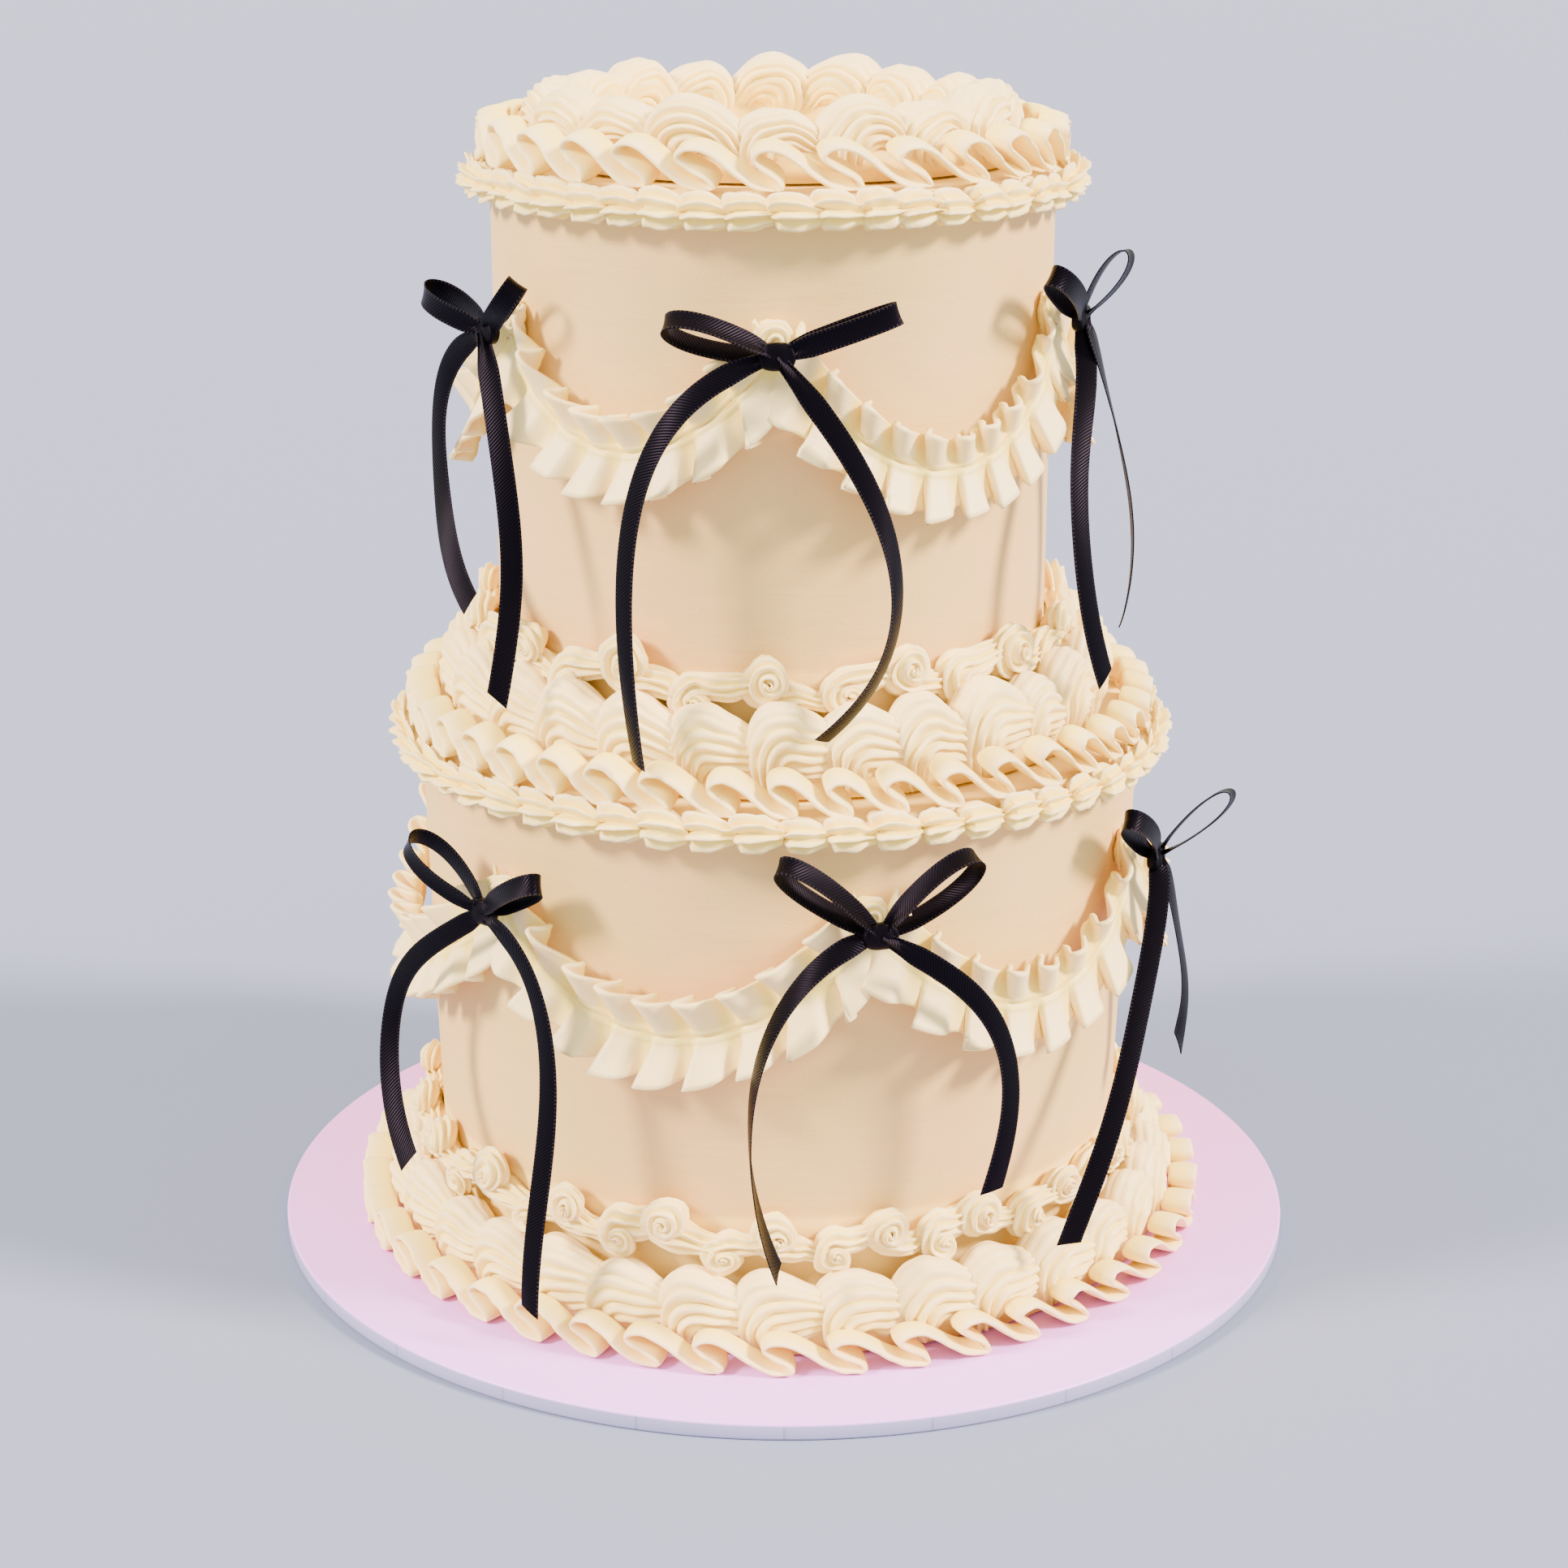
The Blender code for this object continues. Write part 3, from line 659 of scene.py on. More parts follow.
shellLook = {
    "columns": 92, "rows": 32,
    "shown": (-25, 205, 0.84),     # degrees round the rope that show, and their share of the mesh
    "fins": 15, "finDepth": 0.24, "sharp": 0.2, "twist": 10, "smoothTop": 14, "backFins": 0.3,
    "arch": 9.2 * mm, "rope": 10.0 * mm, "reach": 8.6 * mm, "middle": 8.6 * mm, "tuck": 0.34,
    "startAngle": 206, "tailDown": 6, "tail": 14 * mm, "slit": 0.0, "nose": 0.05,
    "headSize": 0.70, "tailSize": 0.60, "squeeze": 0.78, "lean": 0.20, "centreHeight": 4.6 * mm,
    # painted shade near the foot and on the back, and all over the core behind
    "stretch": 1.0, "floor": 0.3 * mm, "lowShade": 0.30, "backShade": 0.45,
    "core": 7.0 * mm, "coreTall": 2.3, "coreShade": 0.85,
    "coreIn": 2.5 * mm,           # how far the core sits nearer the wall than the shells do
}
midShellLook = dict(shellLook, fins=17, rope=9.6 * mm, arch=9.0 * mm, stretch=1.18, tailDown=12,
                    centreHeight=5.6 * mm)
topShellLook = dict(shellLook, columns=110, rows=40, fins=17, shown=(-70, 250, 0.96), arch=8.2 * mm,
                    rope=9.0 * mm, reach=9.6 * mm, middle=10.6 * mm, startAngle=232, tailDown=54, tail=7 * mm,
                    centreHeight=6.8 * mm, stretch=0.84, squeeze=0.88, tailSize=0.62, lean=0.16, backFins=0.9,
                    backShade=0.10, smoothTop=6, lowShade=0.5, coreTall=1.7, coreIn=0.0)


def shellRing(name, node, look, count, width, seed, turnBy, large=None):
    ring = ringOf(node)
    ring["base"] = ring["outer"] - width
    ring["pitchRadius"] = ring["outer"] - width / 2
    rng = random.Random(seed)
    variants = []
    for i in range(3):
        changed = dict(look, finDepth=look["finDepth"] * (0.9 + 0.1 * i), tailDown=look["tailDown"] + 4 * i,
                       twist=look["twist"] - 6 * i)
        variants.append(shellUnit(changed, seed + i))
    shells = copyRound("shellCopies", variants, count, ring, rng, 0.05, 0.35 * mm, turnBy, large)
    deselect()
    coreRadius = ring["base"] + look["middle"] - look["coreIn"]
    bpy.ops.mesh.primitive_torus_add(location=(ring["centre"], 0, ring["foot"]), major_radius=coreRadius,
                                     minor_radius=look["core"], major_segments=96, minor_segments=16)
    core = bpy.context.object                            # cream that closes the caves behind the shells, painted the yellow of deep shade all over
    bpy.ops.object.transform_apply(location=True, rotation=True, scale=True)
    co = points(core)
    co[:, 2] = ring["foot"] + np.maximum(co[:, 2] - ring["foot"], look["floor"]) * look["coreTall"]
    setPoints(core, co)
    setShadeAndGlow(core, np.full(len(co), look["coreShade"]))
    bpy.ops.object.shade_smooth()
    return joinUp([shells, core], name)


baseShells = shellRing("baseShells", "base_shells", shellLook, 33, 17.0 * mm, 11, 0.02)
finishPiece(baseShells, piping, "piping", "base_shells")
midShells = shellRing("midShells", "mid_shells", midShellLook, 28, 17.2 * mm, 21, 0.05)
finishPiece(midShells, piping, "piping", "mid_shells")
topShells = shellRing("topShells", "top_shells", topShellLook, 18, 21.8 * mm, 31, 0.06, 8)
finishPiece(topShells, piping, "piping", "top_shells")
print("large shells piped")


# Ruffles: one ribbon of cream from a petal nozzle, hooked back on itself at the crest of each wave

waveLine = (                   # along and up, one wave
    (0.18, 0.00), (0.215, 0.10), (0.12, 0.30), (-0.09, 0.53), (-0.235, 0.76), (-0.15, 0.96),
    (0.02, 1.0), (0.19, 0.91), (0.38, 0.68), (0.58, 0.39), (0.80, 0.13), (1.00, 0.01))


def waveTable():
    # the line through the points above, round in its bends and evenly spaced along its length
    marks = np.array([(x + k, z) for k in (-1, 0, 1) for x, z in waveLine])
    count = len(waveLine)
    curve = []
    for i in range(count, 2 * count):
        a, b, c, d = marks[i - 1:i + 3]
        for t in np.linspace(0, 1, 24, endpoint=False):
            curve.append(0.5 * (2 * b + (c - a) * t + (2 * a - 5 * b + 4 * c - d) * t * t
                                + (3 * b - a - 3 * c + d) * t ** 3))
    curve.append(curve[0] + np.array((1.0, 0.0)))
    curve = np.array(curve)
    steps = np.hypot(np.diff(curve[:, 0]), np.diff(curve[:, 1]) * 0.55)
    return np.concatenate([[0], np.cumsum(steps)]) / steps.sum(), curve


waveSteps, waveCurve = waveTable()

baseRuffleLook = {
    "node": "base_ruffle", "waves": 43, "band": 8.6 * mm, "tilt": 8, "lip": 1.6 * mm, "root": 3.0 * mm,
    "rise": 9.6 * mm, "rowsPerWave": 40, "columns": 18, "ragged": 0.25 * mm, "floor": 0.3 * mm,
}
midRuffleLook = dict(baseRuffleLook, node="mid_ruffle", waves=42, band=9.4 * mm, tilt=22, rise=10.2 * mm)
topRuffleLook = dict(baseRuffleLook, node="top_ruffle", waves=27, band=9.4 * mm, tilt=24, rise=11.0 * mm)


def ruffleRing(name, look, seed):
    ring = ringOf(look["node"])
    rng = random.Random(seed)
    waves = look["waves"]
    piece, u, v = sheet(name, look["columns"], waves * look["rowsPerWave"])
    along = v * waves
    pitchRadius = ring["outer"] - look["band"] / 2
    pitch = fullTurn * pitchRadius / waves
    knots = np.arange(waves + 1)

    def uneven(amount):
        values = np.array([rng.uniform(-amount, amount) for _ in knots])
        values[-1] = values[0]
        return values

    riseBy, foldBy, shiftBy = uneven(0.10), uneven(0.16), uneven(0.07)

    def path(place):
        whole = np.floor(place)
        part = place - whole
        x = np.interp(part, waveSteps, waveCurve[:, 0])
        z = np.interp(part, waveSteps, waveCurve[:, 1])
        fold = 1 + np.interp(place, knots, foldBy)
        t = (place + (x - part) * fold + np.interp(place, knots, shiftBy)) * pitch
        return t, z * look["rise"] * (1 + np.interp(place, knots, riseBy))

    t, h = path(along)
    normalT, normalH = squareTo(path, along, 0.006)
    turn = u * fullTurn
    across = 0.5 - 0.5 * np.cos(turn)                     # 0 at the root against the shells, 1 at the lip
    thick = (look["root"] + (look["lip"] - look["root"]) * across) / 2
    side = np.sin(turn)
    side = np.sign(side) * np.abs(side) ** 0.6 * thick
    tilt = math.radians(look["tilt"])
    tear = np.sin(along * 31 + 3 * np.sin(along * 7)) * look["ragged"] * across ** 3
    out = across * look["band"] * math.cos(tilt) + tear
    height = h + side * normalH + (0.75 - across) * look["band"] * math.sin(tilt) + look["lip"] / 2
    gatherIn = 0.84 + 0.16 * across                       # the root is squeezed flatter than the lip
    height = look["lip"] / 2 + (height - look["lip"] / 2) * gatherIn
    radius = ring["outer"] - look["band"] * math.cos(tilt) + out
    azimuth = (t + side * normalT) / pitchRadius
    height = np.maximum(height, look["floor"])
    setPoints(piece, around(ring["centre"], radius, azimuth, ring["foot"] + height))
    # painted shade: yellow towards the root against the shells, low in the troughs and on the underside of the
    # band
    low = smoothStep(1 - h / (look["rise"] * 0.5))
    under = np.where(side < 0, 1.0, 0.0)
    setShadeAndGlow(piece, (1 - across) * 0.62 + low * 0.22 * (1 - across * 0.7) + under * (0.30 - 0.22 * across))
    drawnOut(piece, 2 * look["band"], waves * 1.9 * pitch)
    seal(piece)
    return piece


for name, look, seed in (("baseRuffle", baseRuffleLook, 41), ("midRuffle", midRuffleLook, 42),
                         ("topRuffle", topRuffleLook, 43)):
    finishPiece(ruffleRing(name, look, seed), piping, "piping", look["node"])
print("ruffles piped")


# Small shells under each rim: short level pulls of a small star nozzle

sideShellLook = dict(
    shellLook, columns=60, rows=22, shown=(-30, 240, 0.9), fins=8, finDepth=0.50, sharp=1.0, twist=4,
    smoothTop=-60, backFins=1.0, arch=9.0 * mm, rope=5.6 * mm, reach=5.4 * mm, middle=4.2 * mm, tuck=1.0,
    startAngle=112, tailDown=4, tail=10.0 * mm, slit=2.6 * mm, nose=0.14, headSize=0.98, tailSize=0.50,
    squeeze=0.95, lean=0.0, centreHeight=-4.0 * mm, floor=-2 * mm, lowShade=0.0, backShade=0.5)


def sideShellRing(name, node, wallNode, look, count, seed, turnBy):
    ring = ringOf(node)
    wall = ringOf(wallNode)
    ring["centre"] = wall["centre"]
    ring["base"] = wall["outer"] - 0.2 * mm
    ring["pitchRadius"] = wall["outer"] + 4 * mm
    rng = random.Random(seed)
    variants = []
    for i in range(4):
        changed = dict(look, twist=look["twist"] + 7 * i, finDepth=look["finDepth"] * (0.85 + 0.15 * i))
        variants.append(shellUnit(changed, seed + i))
    return copyRound(name, variants, count, ring, rng, 0.07, 0.3 * mm, turnBy)


for name, node, wallNode, count, seed in (("midSideShells", "mid_side_shells", "lower_tier", 55, 51),
                                          ("topSideShells", "top_side_shells", "upper_tier", 47, 52)):
    finishPiece(sideShellRing(name, node, wallNode, sideShellLook, count, seed, 0.03), piping, "piping", node)
print("small shells piped")


# Scroll borders: commas of star rope, alternately curled up on the wall and hung down between

commaLook = {
    "columns": 54, "rows": 40, "fins": 9, "finDepth": 0.48, "sharp": 0.75,
    "turns": 1.25, "spiral": 3.9 * mm, "cone": 4.6 * mm, "drop": 2.5 * mm,
    "coiled": 0.62,           # share of the mesh in the coil
    "drawn": 40 * mm,         # length of the rope, for the tears
}


def commaUnit(look, hand, seed):
    # hand 1: coils anticlockwise and leaves below to the right; hand -1: the mirror of it, leaving above
    rng = random.Random(seed)
    piece, u, v = sheet("commaPattern", look["columns"], look["rows"])
    turn = u * fullTurn
    coil = fullTurn * look["turns"]
    coiled = look["coiled"]

    def path(place):
        inside = np.clip(place / coiled, 0, 1)
        swing = -math.pi / 2 - coil * (1 - inside)       # ends at the bottom of the coil
        radius = look["spiral"] * (0.02 + 0.98 * inside ** 0.8)
        run = np.clip((place - coiled) / (1 - coiled), 0, 1)
        x = radius * np.cos(swing) + run * look["tail"]
        z = radius * np.sin(swing) - look["drop"] * smoothStep(run) * 0.8
        return x, z, inside, run

    x, z, inside, run = path(v)
    normalX, normalZ = squareTo(path, v, 0.004)
    size = look["rope"] * (0.50 + 0.50 * smoothStep(inside * 1.2)) * (1 - 0.38 * smoothStep(run))
    size = size * roundEnd((v - 0.97) / 0.03) * roundEnd((0.04 - v) / 0.04)
    fin, groove = finRound(turn + 0.6 * v + rng.uniform(0, 0.3), look["fins"], look["finDepth"], look["sharp"])
    lateral = size * fin * np.cos(turn)
    out = size * fin * np.sin(turn)
    centreOut = look["rope"] * 0.85 + look["cone"] * (1 - inside) ** 1.2
    setPoints(piece, np.stack([x + lateral * normalX, -(centreOut + out), (z + lateral * normalZ) * hand], -1))
    # painted shade: yellow in the grooves, on the side towards the wall and a little along the tail
    setShadeAndGlow(piece, groove * 0.42 + smoothStep((-np.sin(turn)) / 0.9) * 0.8 + smoothStep(run) * 0.1)
    drawnOut(piece, fullTurn * look["rope"], look["drawn"])
    seal(piece)
    return piece


def scrollRing(name, node, wallRadius, centreX, look, seed):
    ring = ringOf(node)
    ring["centre"] = centreX
    ring["base"] = wallRadius
    ring["pitchRadius"] = wallRadius + 4 * mm
    middle = (ring["foot"] + ring["top"]) / 2
    pairs = look["pairs"]
    rng = random.Random(seed)
    hung = dict(look, turns=look["turns"] - 0.15, spiral=look["spiral"] * 0.85, drop=look["drop"] * 0.7)
    upper = [commaUnit(dict(look, turns=look["turns"] + 0.08 * i), 1, seed + i) for i in range(2)]
    lower = [commaUnit(hung, -1, seed + 7 + i) for i in range(2)]
    clear = 20 * mm                                      # lifted clear of the floor test, then set back
    parts = []
    for patterns, lift, shift in ((upper, look["up"], 0.0), (lower, look["down"], 0.5)):
        for pattern in patterns:
            co = points(pattern)
            co[:, 2] += lift + clear
            setPoints(pattern, co)
        level = dict(ring, foot=middle - clear)
        parts.append(copyRound(name, patterns, pairs, level, rng, 0.08, 0.5 * mm, fullTurn * shift / pairs))
    return joinUp(parts, name)


lowerWall = ringOf("lower_tier")
upperWall = ringOf("upper_tier")
baseScrollLook = dict(commaLook, rope=4.6 * mm, up=-0.6 * mm, down=-6.6 * mm, tail=14.5 * mm, pairs=22)
midScrollLook = dict(commaLook, rope=4.9 * mm, spiral=4.3 * mm, up=2.2 * mm, down=-4.2 * mm, tail=17 * mm,
                     pairs=14)
lowerFootRadius = lowerWall["outer"] - 4.2 * mm
upperFootRadius = upperWall["outer"] - 0.3 * mm
for name, node, radius, wall, look, seed in (
        ("baseScroll", "base_scroll", lowerFootRadius, lowerWall, baseScrollLook, 61),
        ("midScroll", "mid_scroll", upperFootRadius, upperWall, midScrollLook, 63)):
    finishPiece(scrollRing(name, node, radius, wall["centre"], look, seed), piping, "piping", node)
print("scrolls piped")


# Bows, in degrees and millimetres: a loop has its direction, length, depth, roll and lean, a tail its two
# guide points, its tip and its twist at both ends. Most values are those of the solids, and a few loops and
# tails are turned a little to sit as in the photograph.

plainLoops = ((160, 30, 9, 35, 0), (20, 30, 9, -35, 0))
plainTails = (((-30, -4, 15), (-40, -52, 19), (-30, -90, 27), 0, 15),
              ((26, -8, 15), (38, -50, 19), (22, -88, 27), 0, -15))
leftBackLoops = (plainLoops[0], (92, 22, 6, -35, 0))
leftBackTails = (plainTails[0], ((-6, -20, 14), (-10, -55, 14), (-12, -86, 25), 0, -10))
rightBackLoops = ((118, 24, 8, 35, 0), plainLoops[1])
rightBackTails = (((-2, -20, 14), (-5, -55, 14), (-3, -88, 25), 0, 10), plainTails[1])
upperBows = (
    {"azimuth": 1, "height": 277.8, "drop": 34, "loops": ((164, 30, 9, 50, 0), (20, 33, 6, 0, 0)),
     "tails": (((-43, -10, 17), (-46, -57, 17), (-37, -106, 30), 0, 40),
               ((30, -35, 15), (49, -72, 17), (12, -98, 29), 0, -52))},
    {"azimuth": 69, "height": 278.5, "drop": 30, "loops": ((150, 30, 8, -15, 0), (85, 22, 6, 0, 33)),
     "tails": (((-2, -24, 15), (-34, -44, 17), (-16, -97, 28), 62, 15),
               ((-4, -12, 16), (27, -65, 27), (-4, -82, 28), 0, -25))},
    {"azimuth": 128, "height": 278, "drop": 29, "loops": rightBackLoops, "tails": rightBackTails},
    {"azimuth": 181, "height": 278, "drop": 29, "loops": plainLoops, "tails": plainTails},
    {"azimuth": 236, "height": 277, "drop": 32, "loops": leftBackLoops, "tails": leftBackTails},
    {"azimuth": 302.5, "height": 277, "drop": 28, "loops": ((158, 24, 9, 0, 17), (40, 22, 8, 40, 0)),
     "tails": (((-44, -16, 15), (-30, -50, 18), (6, -73, 21), -35, -35),
               ((22, -28, 16), (26, -73, 19), (30, -94, 30), -50, -50))},
)
lowerBows = (
    {"azimuth": 13.5, "height": 128, "drop": 29, "loops": ((142, 35, 9, 46, 0), (37, 33, 12, -60, 0)),
     "tails": (((-29, -2, 14), (-48, -46, 18), (-29, -93, 20), 16, 116),
               ((31, -17, 15), (46, -34, 18), (32, -76, 19), 0, 0))},
    {"azimuth": 68, "height": 126.5, "drop": 30, "loops": ((145, 34, 8, 0, 0), (83, 29, 6, 0, 44)),
     "tails": (((-7, -8, 15), (-36, -57, 17), (-66, -94, 25), 62, 48),
               ((0, -14, 16), (18, -50, 19), (4, -58, 20), 0, 10))},
    {"azimuth": 129, "height": 126, "drop": 30, "loops": rightBackLoops, "tails": rightBackTails},
    {"azimuth": 187, "height": 126, "drop": 30, "loops": plainLoops, "tails": plainTails},
    {"azimuth": 244, "height": 125, "drop": 33, "loops": leftBackLoops, "tails": leftBackTails},
    {"azimuth": 316, "height": 123.5, "drop": 30, "loops": ((147, 30, 11, -6, 8), (31, 26, 8, -20, 0)),
     "tails": (((-12, -12, 15), (-64, -32, 21), (-20, -77, 25), -20, -42),
               ((43, -7, 15), (25, -64, 18), (32, -105, 29), 0, 10))},
)


def lowerWallAt(height):
    # the lower tier narrows a little towards its foot; the upper tier is straight
    low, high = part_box("lower_tier")
    ring = points(nodes["lower_tier"])
    reach = np.hypot(ring[:, 0] - (low.x + high.x) / 2, ring[:, 1])
    foot = reach[ring[:, 2] < low.z + mm].max()
    return foot + (reach.max() - foot) * (height - low.z) / (high.z - low.z)


def upperWallAt(height):
    return upperWall["outer"]


def stations():
    # each bow with its tier, and the next bow round
    for label, wall, wallAt, bows in (("lower", lowerWall, lowerWallAt, lowerBows),
                                      ("upper", upperWall, upperWallAt, upperBows)):
        for i, bow in enumerate(bows):
            yield label, wall["centre"], wallAt, i, bow, bows[(i + 1) % len(bows)]


def finishTrim(piece, label, kind, i, material, slotName):
    piece.name = label + kind + str(i + 1)
    finishPiece(piece, material, slotName, label + "_" + kind.lower() + "_" + str(i + 1))


# Swags: a ruffled band of cream gathered on its middle line, the upper lips curled up, the lower ones flared

swagLook = {
    "endRoom": 0.8 * mm, "turn": 0.4, "columns": 32, "rowsPerPleat": 26, "seam": 5.0 * mm,
    "lowerFlare": 4.0 * mm, "upperFlare": 1.6 * mm, "lowerFold": 2.8 * mm, "upperFold": 4.0 * mm, "fold": 0.80,
    "thickness": 1.3 * mm, "line": 0.45 * mm, "least": 1.1 * mm, "drawn": 20 * mm,
    "glow": 11 * mm, "glowUp": 3 * mm,    # the glow on the wall reaches so far each way, from so far up
}
swagSizes = {
    "lower": {"pleat": 14.4 * mm, "lowerDrop": 12.2 * mm, "upperRise": 10.8 * mm},
    "upper": {"pleat": 12.4 * mm, "lowerDrop": 11.8 * mm, "upperRise": 9.2 * mm},
}


def hang(first, second):
    # where a swag starts, its span, the height of its first knot, its rise to the second, and how far it hangs
    span = math.radians((second["azimuth"] - first["azimuth"]) % 360)
    knot = first["height"] * mm
    return math.radians(first["azimuth"]), span, knot, second["height"] * mm - knot, first["drop"] * mm


def makeSwag(centreX, wallAt, first, second, seed, sizes):
    look = dict(swagLook, **sizes)
    rng = random.Random(seed)
    start, span, knot, rise, drop = hang(first, second)
    length = span * float(wallAt(knot))
    hanging = length * (1 + 8 / 3 * (drop / length) ** 2) - 2 * look["endRoom"]
    pleats = round(hanging / look["pleat"])
    piece, u, v = sheet("swag", look["columns"], pleats * look["rowsPerPleat"])
    x = u * 2 - 1                                        # -1 lower lip, 0 seam, 1 upper lip
    x = x * (0.35 + 0.65 * np.abs(x))                    # more of the mesh beside the seam
    room = look["endRoom"] / length
    marks = np.arange(pleats + 2)
    uneven = np.interp(v * pleats, marks, [rng.uniform(0.82, 1.18) for _ in marks])
    shift = np.interp(v * pleats, marks, [rng.uniform(-0.08, 0.08) for _ in marks])
    lower = np.clip(-x, 0, 1)
    upper = np.clip(x, 0, 1)
    away = np.abs(x)
    place = v * pleats + shift + np.where(x < 0, 0.0, 0.08 * away)
    part = place - np.floor(place)
    foldX = np.interp(part, waveSteps, waveCurve[:, 0]) - part
    crest = np.interp(part, waveSteps, waveCurve[:, 1])  # 1 on the front of a pleat, 0 in the valley
    ends = smoothStep(v / 0.11) * smoothStep((1 - v) / 0.11)
    foldSize = away ** 0.8 * uneven * (0.30 + 0.70 * ends)
    alongFold = foldSize * look["fold"] * foldX * length / pleats
    boxy = smoothStep(crest * 1.4)
    lowerFold = look["lowerFold"] * (2 * boxy - 0.9)
    upperFold = look["upperFold"] * (2 * crest - 0.8)
    outFold = foldSize * np.where(x < 0, lowerFold, upperFold)
    along = room + (1 - 2 * room) * v
    alongM = along * length
    middle = knot + rise * along - drop * 4 * along * (1 - along)
    slope = -drop * 4 * (1 - 2 * along) / length + rise / length
    lean = np.hypot(1, slope * look["turn"])
    acrossX, acrossZ = -slope * look["turn"] / lean, 1 / lean
    reach = np.where(x < 0, -look["lowerDrop"] * lower ** 0.9, look["upperRise"] * upper ** 0.9)
    reach = reach * (1 + (0.5 * (uneven - 1) + 0.07 * (crest - 0.5) + 0.20 * (0.5 - part)) * away)
    s = alongM + alongFold + acrossX * reach
    z = middle + acrossZ * reach + slope * alongFold * 0.5
    flare = lower ** 1.3 * look["lowerFlare"] + upper ** 1.5 * look["upperFlare"]
    out = look["seam"] * (0.6 + 0.4 * ends) + flare * (0.35 + 0.65 * ends) + outFold
    stitch = np.exp(-((away - 0.09) / 0.035) ** 2)       # the two thin lines the nozzle leaves along the seam
    out = np.maximum(out + stitch * look["line"], look["least"])
    radius = wallAt(np.maximum(z, middle)) + out
    azimuth = start + s / float(wallAt(knot))
    setPoints(piece, around(centreX, radius, azimuth, z))
    # painted shade: yellow beside the seam and in the valleys between the pleats
    valley = smoothStep(1 - crest * 1.4)
    inValley = valley * np.where(x < 0, 0.35, 0.62) * (1 - away * 0.45)
    setShadeAndGlow(piece, smoothStep(1 - away / 0.4) * 0.28 + inValley)
    drawnOut(piece, look["drawn"], length)
    thicken(piece, look["thickness"])
    bpy.ops.object.shade_smooth()
    return piece


def glowOnWall(tier, centreX, first, second):
    # light that comes yellow through the swag on to the wall beside it
    co = points(tier)
    start, span, knot, rise, drop = hang(first, second)
    share = np.mod(np.arctan2(co[:, 0] - centreX, -co[:, 1]) - start, fullTurn) / span
    middle = knot + rise * share - drop * 4 * share * (1 - share)
    away = np.abs(co[:, 2] - middle - swagLook["glowUp"])
    near = smoothStep(1 - away / swagLook["glow"]) * np.where(share < 1, 0.6, 0)
    layer = tier.data.attributes["shadeAndGlow"]
    held = np.empty(len(co))
    layer.data.foreach_get("value", held)
    layer.data.foreach_set("value", np.maximum(held, near).astype(np.float32))


for label, centreX, wallAt, i, bow, following in stations():
    swag = makeSwag(centreX, wallAt, bow, following, 70 + i, swagSizes[label])
    finishTrim(swag, label, "Swag", i, piping, "piping")
    glowOnWall(bpy.data.objects[label + "Tier"], centreX, bow, following)
print("swags piped")


# Rosette of cream behind each knot

rosetteLook = dict(commaLook, rope=4.4 * mm, spiral=3.6 * mm, tail=0.6 * mm, cone=2.2 * mm, rows=32,
                   columns=48, up=2.2 * mm, wide=0.95, deep=0.68, sunk=0.4 * mm)

for label, centreX, wallAt, i, bow, following in stations():
    rosette = commaUnit(rosetteLook, 1, 90 + i)
    co = wobble(points(rosette), random.Random(95 + i), 0.4 * mm, 9 * mm)
    knot = bow["height"] * mm
    radius = float(wallAt(knot)) - rosetteLook["sunk"] - co[:, 1] * rosetteLook["deep"]
    azimuth = math.radians(bow["azimuth"]) + co[:, 0] * rosetteLook["wide"] / radius
    setPoints(rosette, around(centreX, radius, azimuth, knot + co[:, 2] + rosetteLook["up"]))
    finishTrim(rosette, label, "Rosette", i, piping, "piping")
print("rosettes piped")


# Ribbon

ribbonShape = {
    "width": 6.0 * mm, "thickness": 0.36 * mm, "columns": 6, "loopRows": 44, "tailRows": 64,
    "knotOut": 11.2,          # millimetres from the wall
    "behind": -0.4, "before": 1.6,    # the tail that lies behind, and the one before it
    "loopStart": 28, "fullness": 0.62, "gather": 0.55, "endCut": 0.55, "cutRows": 5,
    "clear": 1.4,             # how much further off the wall the tails swing to pass the swags
    "waver": 0.8, "twistWaver": 8,
}


def layWeave(piece, weave):
    # the ribbon's own map, in metres across and along
    uv = piece.data.uv_layers[0]
    uv.name = "weave"
    corners = np.empty(len(piece.data.loops), dtype=int)
    piece.data.loops.foreach_get("vertex_index", corners)
    uv.data.foreach_set("uv", weave[corners].astype(np.float32).ravel())


def ribbonStrip(line, faces, gathers, endCut):
    # a flat ribbon laid along a line, its face turned the way faces says, drawn in where it is gathered
    look = ribbonShape
    rows = len(line) - 1
    piece, u, v = sheet("ribbon", look["columns"], rows)
    row = np.clip(np.rint(v * rows).astype(int), 0, rows)
    across = u - 0.5
    tangent = unit(np.gradient(line, axis=0))
    side = unit(np.cross(tangent, faces))
    face = np.cross(side, tangent)
    width = look["width"] * gathers[row]
    co = line[row] + side[row] * (width * across)[:, None]
    camber = (1 - gathers[row]) * 1.4 * mm * np.cos(across * fullTurn * 1.5) - 0.25 * mm * (across * 2) ** 2
    co = co + face[row] * camber[:, None]
    toEnd = np.clip(1 - (rows - row) / look["cutRows"], 0, 1)
    co = co + tangent[row] * (toEnd * across * width * endCut)[:, None]
    steps = np.concatenate([[0], np.cumsum(np.linalg.norm(np.diff(line, axis=0), axis=1))])
    setPoints(piece, co)
    layWeave(piece, np.stack([across * look["width"], steps[row]], -1))
    thicken(piece, look["thickness"])
    bpy.ops.object.shade_smooth_by_angle(angle=math.radians(50))
    return piece


def onTier(centreX, wallRadius, azimuth, knot, place):
    distance = wallRadius + place[..., 2] * mm
    return around(centreX, distance, azimuth + place[..., 0] * mm / distance, knot + place[..., 1] * mm)


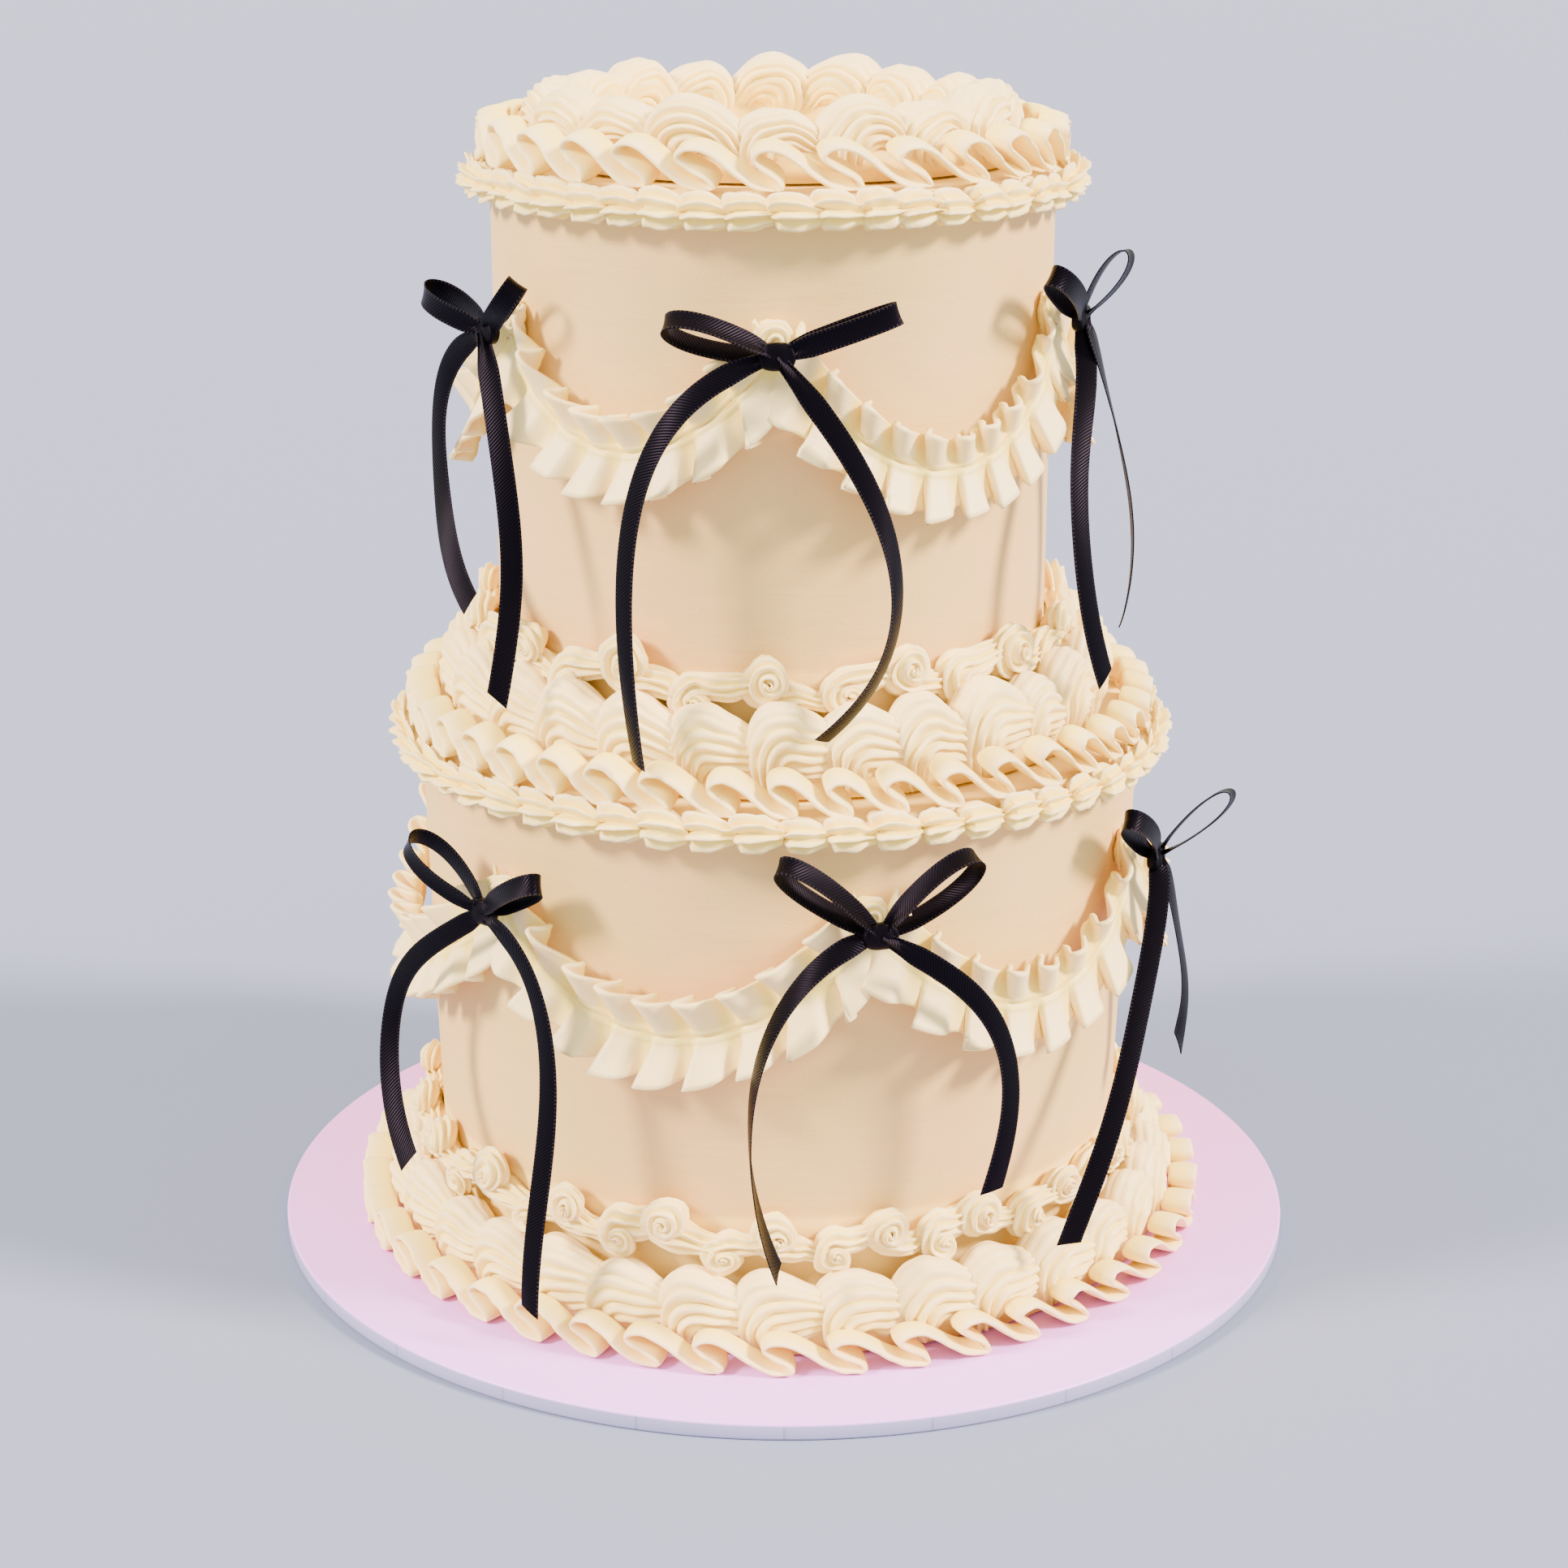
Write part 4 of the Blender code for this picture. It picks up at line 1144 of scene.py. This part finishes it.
def makeTail(tier, shape, layer, wave):
    look = ribbonShape
    first, second, tip, twistStart, twistEnd = shape
    t = np.linspace(0, 1, look["tailRows"] + 1)
    rest = 1 - t
    shares = (rest ** 3, 3 * rest ** 2 * t, 3 * rest * t ** 2, t ** 3)
    guides = np.array(((0.0, 0.0, look["knotOut"] + layer), first, second, tip), float)
    place = sum(np.outer(share, guide) for share, guide in zip(shares, guides))
    swing = look["clear"] * t * rest ** 2 / (4 / 27)     # most a third of the way down
    place[:, 2] += look["waver"] * np.sin(t * fullTurn * 1.5 + wave) * t + swing
    line = onTier(*tier, place)
    outward = unit((line - (tier[0], 0, 0)) * (1, 1, 0))
    tangent = unit(np.gradient(line, axis=0))
    sway = look["twistWaver"] * np.sin(t * fullTurn + wave)
    twist = np.radians(twistStart + (twistEnd - twistStart) * t + sway)
    side = unit(np.cross(tangent, outward))
    face = np.cross(side, tangent)
    face = face * np.cos(twist)[:, None] + side * np.sin(twist)[:, None]
    gathers = look["gather"] + (1 - look["gather"]) * smoothStep(t / 0.12)
    return ribbonStrip(line, face, gathers, look["endCut"] if wave % 2 else -look["endCut"])


def makeLoop(tier, shape):
    # out along the top of the loop and back along its foot, widest two thirds of the way out
    look = ribbonShape
    direction, length, depth, roll, lean = shape
    centreX, wallRadius, azimuth, knot = tier
    centre = Vector(onTier(*tier, np.array((0.0, 0.0, look["knotOut"]))))
    outward = Vector((math.sin(azimuth), -math.cos(azimuth), 0))
    level = outward.cross(Vector((0, 0, -1)))
    angle = math.radians(direction)
    along = level * math.cos(angle) + Vector((0, 0, 1)) * math.sin(angle)
    along = along * math.cos(math.radians(lean)) + outward * math.sin(math.radians(lean))
    front = (outward - along * outward.dot(along)).normalized()
    front = Matrix.Rotation(math.radians(roll), 3, along) @ front
    turn = np.radians(np.linspace(look["loopStart"], 360 - look["loopStart"], look["loopRows"] + 1))
    reach = length * mm * (1 - np.cos(turn)) / 2
    opening = depth * mm * look["fullness"] * np.sin(turn) * np.sqrt((1 - np.cos(turn)) / 2)
    line = np.array(centre) + np.outer(reach, along) + np.outer(opening, front)
    faces = np.cross(unit(np.gradient(line, axis=0)), np.array(along.cross(front)))
    share = reach / (length * mm)
    gathers = look["gather"] + (1 - look["gather"]) * smoothStep(share / 0.30)
    return ribbonStrip(line, faces, gathers, 0)


knotLook = {"wide": 5.0, "deep": 2.2, "tall": 3.7, "folds": 3, "foldDepth": 0.16}


def makeKnot(tier):
    # the tied band: a puffed cushion with creases running over it from top to bottom
    piece, u, v = sheet("knot", 40, 24)
    turn = u * fullTurn
    polar = (v - 0.5) * math.pi

    def puffed(x):
        return np.sign(x) * np.abs(x) ** 0.62

    x = puffed(np.cos(polar)) * puffed(np.sin(turn))
    out = puffed(np.cos(polar)) * puffed(np.cos(turn))
    up = puffed(np.sin(polar))
    fold = 0.5 + 0.5 * np.cos(fullTurn * knotLook["folds"] * (x * 0.5 + 0.1 * up))
    crease = 1 - knotLook["foldDepth"] * fold
    place = np.stack([x * knotLook["wide"] * (1 - 0.10 * np.abs(up)), up * knotLook["tall"],
                      ribbonShape["knotOut"] + out * knotLook["deep"] * crease], -1)
    setPoints(piece, onTier(*tier, place))
    layWeave(piece, np.stack([x * 2.0 * mm, up * 8 * mm], -1))
    seal(piece)
    return piece


ribbon = satinRibbon()
for label, centreX, wallAt, i, bow, following in stations():
    knot = bow["height"] * mm
    tier = (centreX, float(wallAt(knot)), math.radians(bow["azimuth"]), knot)
    behind, before = bow["tails"]
    parts = [makeKnot(tier)]
    parts += [makeLoop(tier, loop) for loop in bow["loops"]]
    parts.append(makeTail(tier, behind, ribbonShape["behind"], i))
    parts.append(makeTail(tier, before, ribbonShape["before"], i + 1))
    finishTrim(joinUp(parts, "bow"), label, "Bow", i, ribbon, "ribbon")
print("bows tied")
